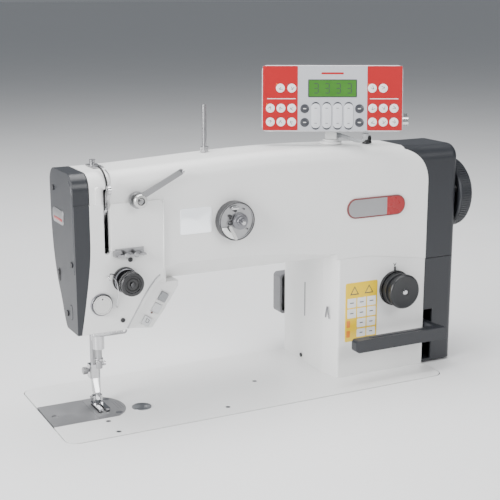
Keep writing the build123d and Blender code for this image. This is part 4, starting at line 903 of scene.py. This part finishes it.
# ---- control panel ------------------------------------------------------------------------
# Flat case on a swivelling stem. Its front is a printed foil in red, grey and red with round
# keys, four rocker pads and a green display behind a window.
case_grey = moulded("case_grey", (0.60, 0.61, 0.63), 0.42, 0.00002, 0.0006)
dress(case_grey, "panel_case")
dress(satin_nickel, "panel_clamp_knob")
foil_red = film("foil_red", (0.40, 0.002, 0.006), 0.40)
foil_grey = film("foil_grey", (0.46, 0.47, 0.50), 0.36)
key_white = film("key_white", (0.80, 0.80, 0.80), 0.3)
key_dark = film("key_dark", (0.045, 0.047, 0.055), 0.3)
pad_grey = film("pad_grey", (0.60, 0.61, 0.64), 0.33)
PANEL_FACE = PANEL @ facing((0, -26.0, 0), (1, 0, 0), (0, 0, 1))

foil = bmesh.new()
slab(foil, PANEL_FACE, pill(0, 26.0, 161.4, 74.2, 1.6), -0.1, 0.15)
slab(foil, PANEL_FACE, pill(-60.3, 26.0, 40.4, 73.8, 1.2, 3), 0.1, 0.25, finish=1)
slab(foil, PANEL_FACE, pill(60.3, 26.0, 40.4, 73.8, 1.2, 3), 0.1, 0.25, finish=1)
for u in (-59.0, 59.5):
    slab(foil, PANEL_FACE, pill(u, 25.4, 33, 0.8, 0.3, 2), 0.2, 0.34, finish=2)
slab(foil, PANEL_FACE, pill(0, 54.5, 26, 2.2, 1.0, 3), 0.1, 0.25, finish=1)
finished(foil, "panel_foil", "panel", "panel_plastic", foil_grey, foil_red, key_white)

KEY_SPOTS = [(-60.2, 37.5), (-47.0, 37.5), (45.8, 37.5), (58.5, 37.5)]
KEY_SPOTS += [(u, v) for v in (14.5, -1.3) for u in (-71.7, -59.4, -47.0, 46.4, 58.8, 71.1)]
panel_keys = bmesh.new()
key_signs = bmesh.new()
for number, (u, v) in enumerate(KEY_SPOTS):
    spot = PANEL_FACE @ Matrix.Translation((u * MM, v * MM, 0))
    lathe(panel_keys, spot, ((0, 0.75), (4.2, 0.75), (4.9, 0.5), (5.2, 0.1), (0, 0.1)), 0, 36)
    for line in range(3):
        tilt = Matrix.Rotation(radians(55 * number + 60 * line), 4, "Z")
        stroke = pill(0.9 - 0.6 * line, 1.4 * (line - 1), 3.6 - line * 0.7, 0.55, 0.2, 2)
        slab(key_signs, spot @ tilt, stroke, 0.6, 0.82)
    lathe(key_signs, spot @ Matrix.Translation((-4.0 * MM, 4.6 * MM, 0)),
          ((0, 0.45), (0.7, 0.4), (0.8, 0.1), (0, 0.1)), 1 if number in (0, 2, 4) else 0, 16)
for u in (-32.0, 31.2):
    for v in (14.0, -1.8):
        spot = PANEL_FACE @ Matrix.Translation((u * MM, v * MM, 0))
        lathe(panel_keys, spot, ((0, 0.75), (4.6, 0.75), (5.1, 0.5), (5.3, 0.1), (0, 0.1)), 1, 36)
        slab(key_signs, spot, pill(0, 0, 3.6, 1.0, 0.4, 2), 0.6, 0.84, finish=2)
for u in (-19.3, -6.6, 6.0, 18.7):
    slab(panel_keys, PANEL_FACE, pill(u, 5.8, 9.8, 32.0, 4.8, 8), 0.05, 0.35, 0.1, 1)
    slab(panel_keys, PANEL_FACE, pill(u, 5.8, 10.4, 28.2, 4.6, 8), 0.2, 0.95, 0.4, 2)
    for v in (14.5, -2.8):
        slab(key_signs, PANEL_FACE, pill(u, v, 3.0, 0.6, 0.25, 2), 0.9, 1.02)
finished(panel_keys, "panel_keys", "panel", "panel_plastic", key_white, key_dark, pad_grey)
finished(key_signs, "panel_key_signs", "panel", "panel_plastic", ink_dark, film_orange, key_white)


def display_green():
    """Green liquid-crystal glass, lit from behind a little unevenly."""
    look = Finish("display_green")
    glow = look.noise(55.0, 3.0)
    return look.close(Base_Color=look.blend(glow, (0.030, 0.13, 0.012), (0.045, 0.18, 0.018)),
                      Roughness=0.3 + 0.1 * glow, Coat_Weight=0.8, Coat_Roughness=0.04,
                      Emission_Color=look.blend(glow, (0.05, 0.22, 0.015), (0.07, 0.30, 0.02)),
                      Emission_Strength=0.12)


DISPLAY_MIDDLE = 37.3
display = bmesh.new()
slab(display, PANEL_FACE, pill(0, DISPLAY_MIDDLE, 56.5, 20.5, 1.0), 0.05, 0.3, 0, 1)
slab(display, PANEL_FACE, pill(0, DISPLAY_MIDDLE, 54.5, 18.6, 0.6), 0.2, 0.42)
SEGMENTS = ((0, 1, 0), (1, 1, 1), (1, -1, 1), (0, -1, 0), (0, 0, 0))
for u in (-18.9, -6.2, 6.6, 19.4):
    for sx, sy, upright in SEGMENTS:
        centre = (u + 2.4 * sx, DISPLAY_MIDDLE + (2.8 if upright else 5.4) * sy)
        segment = pill(*centre, 0.9 if upright else 4.2, 4.6 if upright else 0.9, 0.3, 2)
        slab(display, PANEL_FACE, segment, 0.4, 0.46, finish=2)
finished(display, "panel_display", "panel", "panel_plastic", display_green(), key_dark, ink_dark)
dress(lead_jacket, "panel_lead")

# Tapered sleeves of the lead, one on the stem and one under the case.
SLEEVE = ((0, -1.2), (3.7, -1.2), (3.7, 0.9), (3.3, 1.5), (2.55, 5.6), (2.3, 6.0), (0, 6.0))
SLEEVES = (("lead_sleeve_stem", "panel_yoke", LEAD_SPOTS[0], (0, 1, 0), (0, 0, 1)),
           ("lead_sleeve_case", "panel", LEAD_SPOTS[-1], (1, 0, 0), (0, -1, 0)))
for name, body, start, right, upward in SLEEVES:
    sleeve = bmesh.new()
    lathe(sleeve, STEM @ facing(start, right, upward), SLEEVE, turns=32)
    finished(sleeve, name, body, "lead_jacket", lead_jacket)
dress(knob_black, "oil_plug")
grown(ribs_on_a_ring, "oil_plug_knurl", facing((343, -6, 378.2), (1, 0, 0), (0, 1, 0)), "frame", "dark_gloss",
      count=28, radius=0.005, width=0.0006, depth=0.0005, length=0.005, finish=knob_black)
